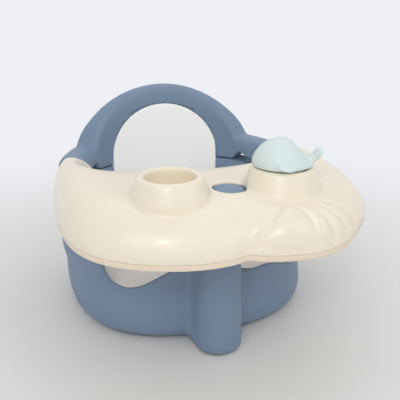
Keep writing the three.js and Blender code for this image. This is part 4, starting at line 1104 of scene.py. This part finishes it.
# %% Camera
CAMERA_AT = spot(-161.6, -627.8, 353.9)
PITCH, TURN, LENS_PIXELS, FRAME_PIXELS, SENSOR_WIDTH = 20.1, -16.3, 550, 400, 36
camera_data = bpy.data.cameras.new("photo_camera")
camera_data.sensor_width = SENSOR_WIDTH
camera_data.lens = LENS_PIXELS / FRAME_PIXELS * SENSOR_WIDTH
camera_data.clip_start, camera_data.clip_end = 0.01, 20
camera = add_object("photo_camera", camera_data)
camera.location = CAMERA_AT
camera.rotation_euler = (math.radians(90 - PITCH), 0, math.radians(TURN))
bpy.context.scene.camera = camera


# %% Floor that fades into the backdrop
BACKDROP, FLOOR, SKY = linear(239, 240, 245), linear(226, 225, 222), linear(243, 244, 246)
FADE_FROM, FADE_TO, FLOOR_HALF_WIDTH, SKY_STRENGTH = 0.16, 0.8, 6, 0.75


def background_rays(tree, link):
    """1 for the rays that show the background: from the camera, off a gloss, through glass."""
    path = tree.new("ShaderNodeLightPath")
    seen = path.outputs["Is Camera Ray"]
    for name in ("Is Glossy Ray", "Is Transmission Ray"):
        either = tree.new("ShaderNodeMath")
        either.operation = "MAXIMUM"
        link(seen, either.inputs[0])
        link(path.outputs[name], either.inputs[1])
        seen = either.outputs["Value"]
    return seen


def pale_floor():
    """A pale diffuse floor. Away from the seat, what the camera sees of it turns into backdrop."""
    material = bpy.data.materials.new("studio_floor")
    material.use_nodes = True
    tree, link = material.node_tree.nodes, material.node_tree.links.new
    shader = set_inputs(tree["Principled BSDF"], Base_Color=FLOOR, Roughness=0.6)
    backdrop = set_inputs(tree.new("ShaderNodeEmission"), Color=BACKDROP)
    place = tree.new("ShaderNodeTexCoord")
    distance = tree.new("ShaderNodeVectorMath")
    distance.operation = "LENGTH"
    fade = set_inputs(tree.new("ShaderNodeMapRange"), From_Min=FADE_FROM, From_Max=FADE_TO)
    fade.interpolation_type = "SMOOTHSTEP"
    seen = tree.new("ShaderNodeMath")
    seen.operation = "MULTIPLY"
    blend = tree.new("ShaderNodeMixShader")
    link(background_rays(tree, link), seen.inputs[1])
    wire(link, (place, "Object", distance, 0), (distance, "Value", fade, "Value"),
         (fade, "Result", seen, 0), (seen, "Value", blend, "Fac"), (shader, "BSDF", blend, 1),
         (backdrop, "Emission", blend, 2), (blend, "Shader", tree["Material Output"], "Surface"))
    return material


floor_bm = bmesh.new()
bmesh.ops.create_grid(floor_bm, x_segments=1, y_segments=1, size=FLOOR_HALF_WIDTH)
floor = piece_from(floor_bm, "studio_floor")
floor.data.materials.append(pale_floor())


# %% Light
def studio_world():
    """A pale sky that lights the seat softly; background rays see the backdrop instead."""
    world = bpy.data.worlds.new("studio")
    world.use_nodes = True
    tree, link = world.node_tree.nodes, world.node_tree.links.new
    sky = set_inputs(tree["Background"], Color=SKY, Strength=SKY_STRENGTH)
    seen = set_inputs(tree.new("ShaderNodeBackground"), Color=BACKDROP)
    blend = tree.new("ShaderNodeMixShader")
    link(background_rays(tree, link), blend.inputs["Fac"])
    wire(link, (sky, "Background", blend, 1), (seen, "Background", blend, 2),
         (blend, "Shader", tree["World Output"], "Surface"))
    return world


bpy.context.scene.world = studio_world()


LAMP_AIM = Vector((0, 0, 0.1))
SOFTBOXES = {  # where each stands and how wide it is in metres, and its power in watts
    "key_softbox": ((-0.75, -1.3, 1.25), 1.1, 6.2),
    "small_softbox": ((-0.5, -1.1, 1.0), 0.16, 1.6),
    "right_softbox": ((1.0, -1.1, 1.1), 1.1, 3.4),
    "top_softbox": ((0.2, 0.6, 1.5), 1.5, 3.2),
}
for name, (place, width, power) in SOFTBOXES.items():
    data = bpy.data.lights.new(name, "AREA")
    data.shape, data.size, data.energy = "SQUARE", width, power
    lamp = add_object(name, data)
    lamp.location = place
    lamp.rotation_euler = (LAMP_AIM - Vector(place)).to_track_quat("-Z", "Y").to_euler()
print("lamps:", *SOFTBOXES)

# %% Finish
scene = bpy.context.scene
scene.view_settings.view_transform = "Standard"
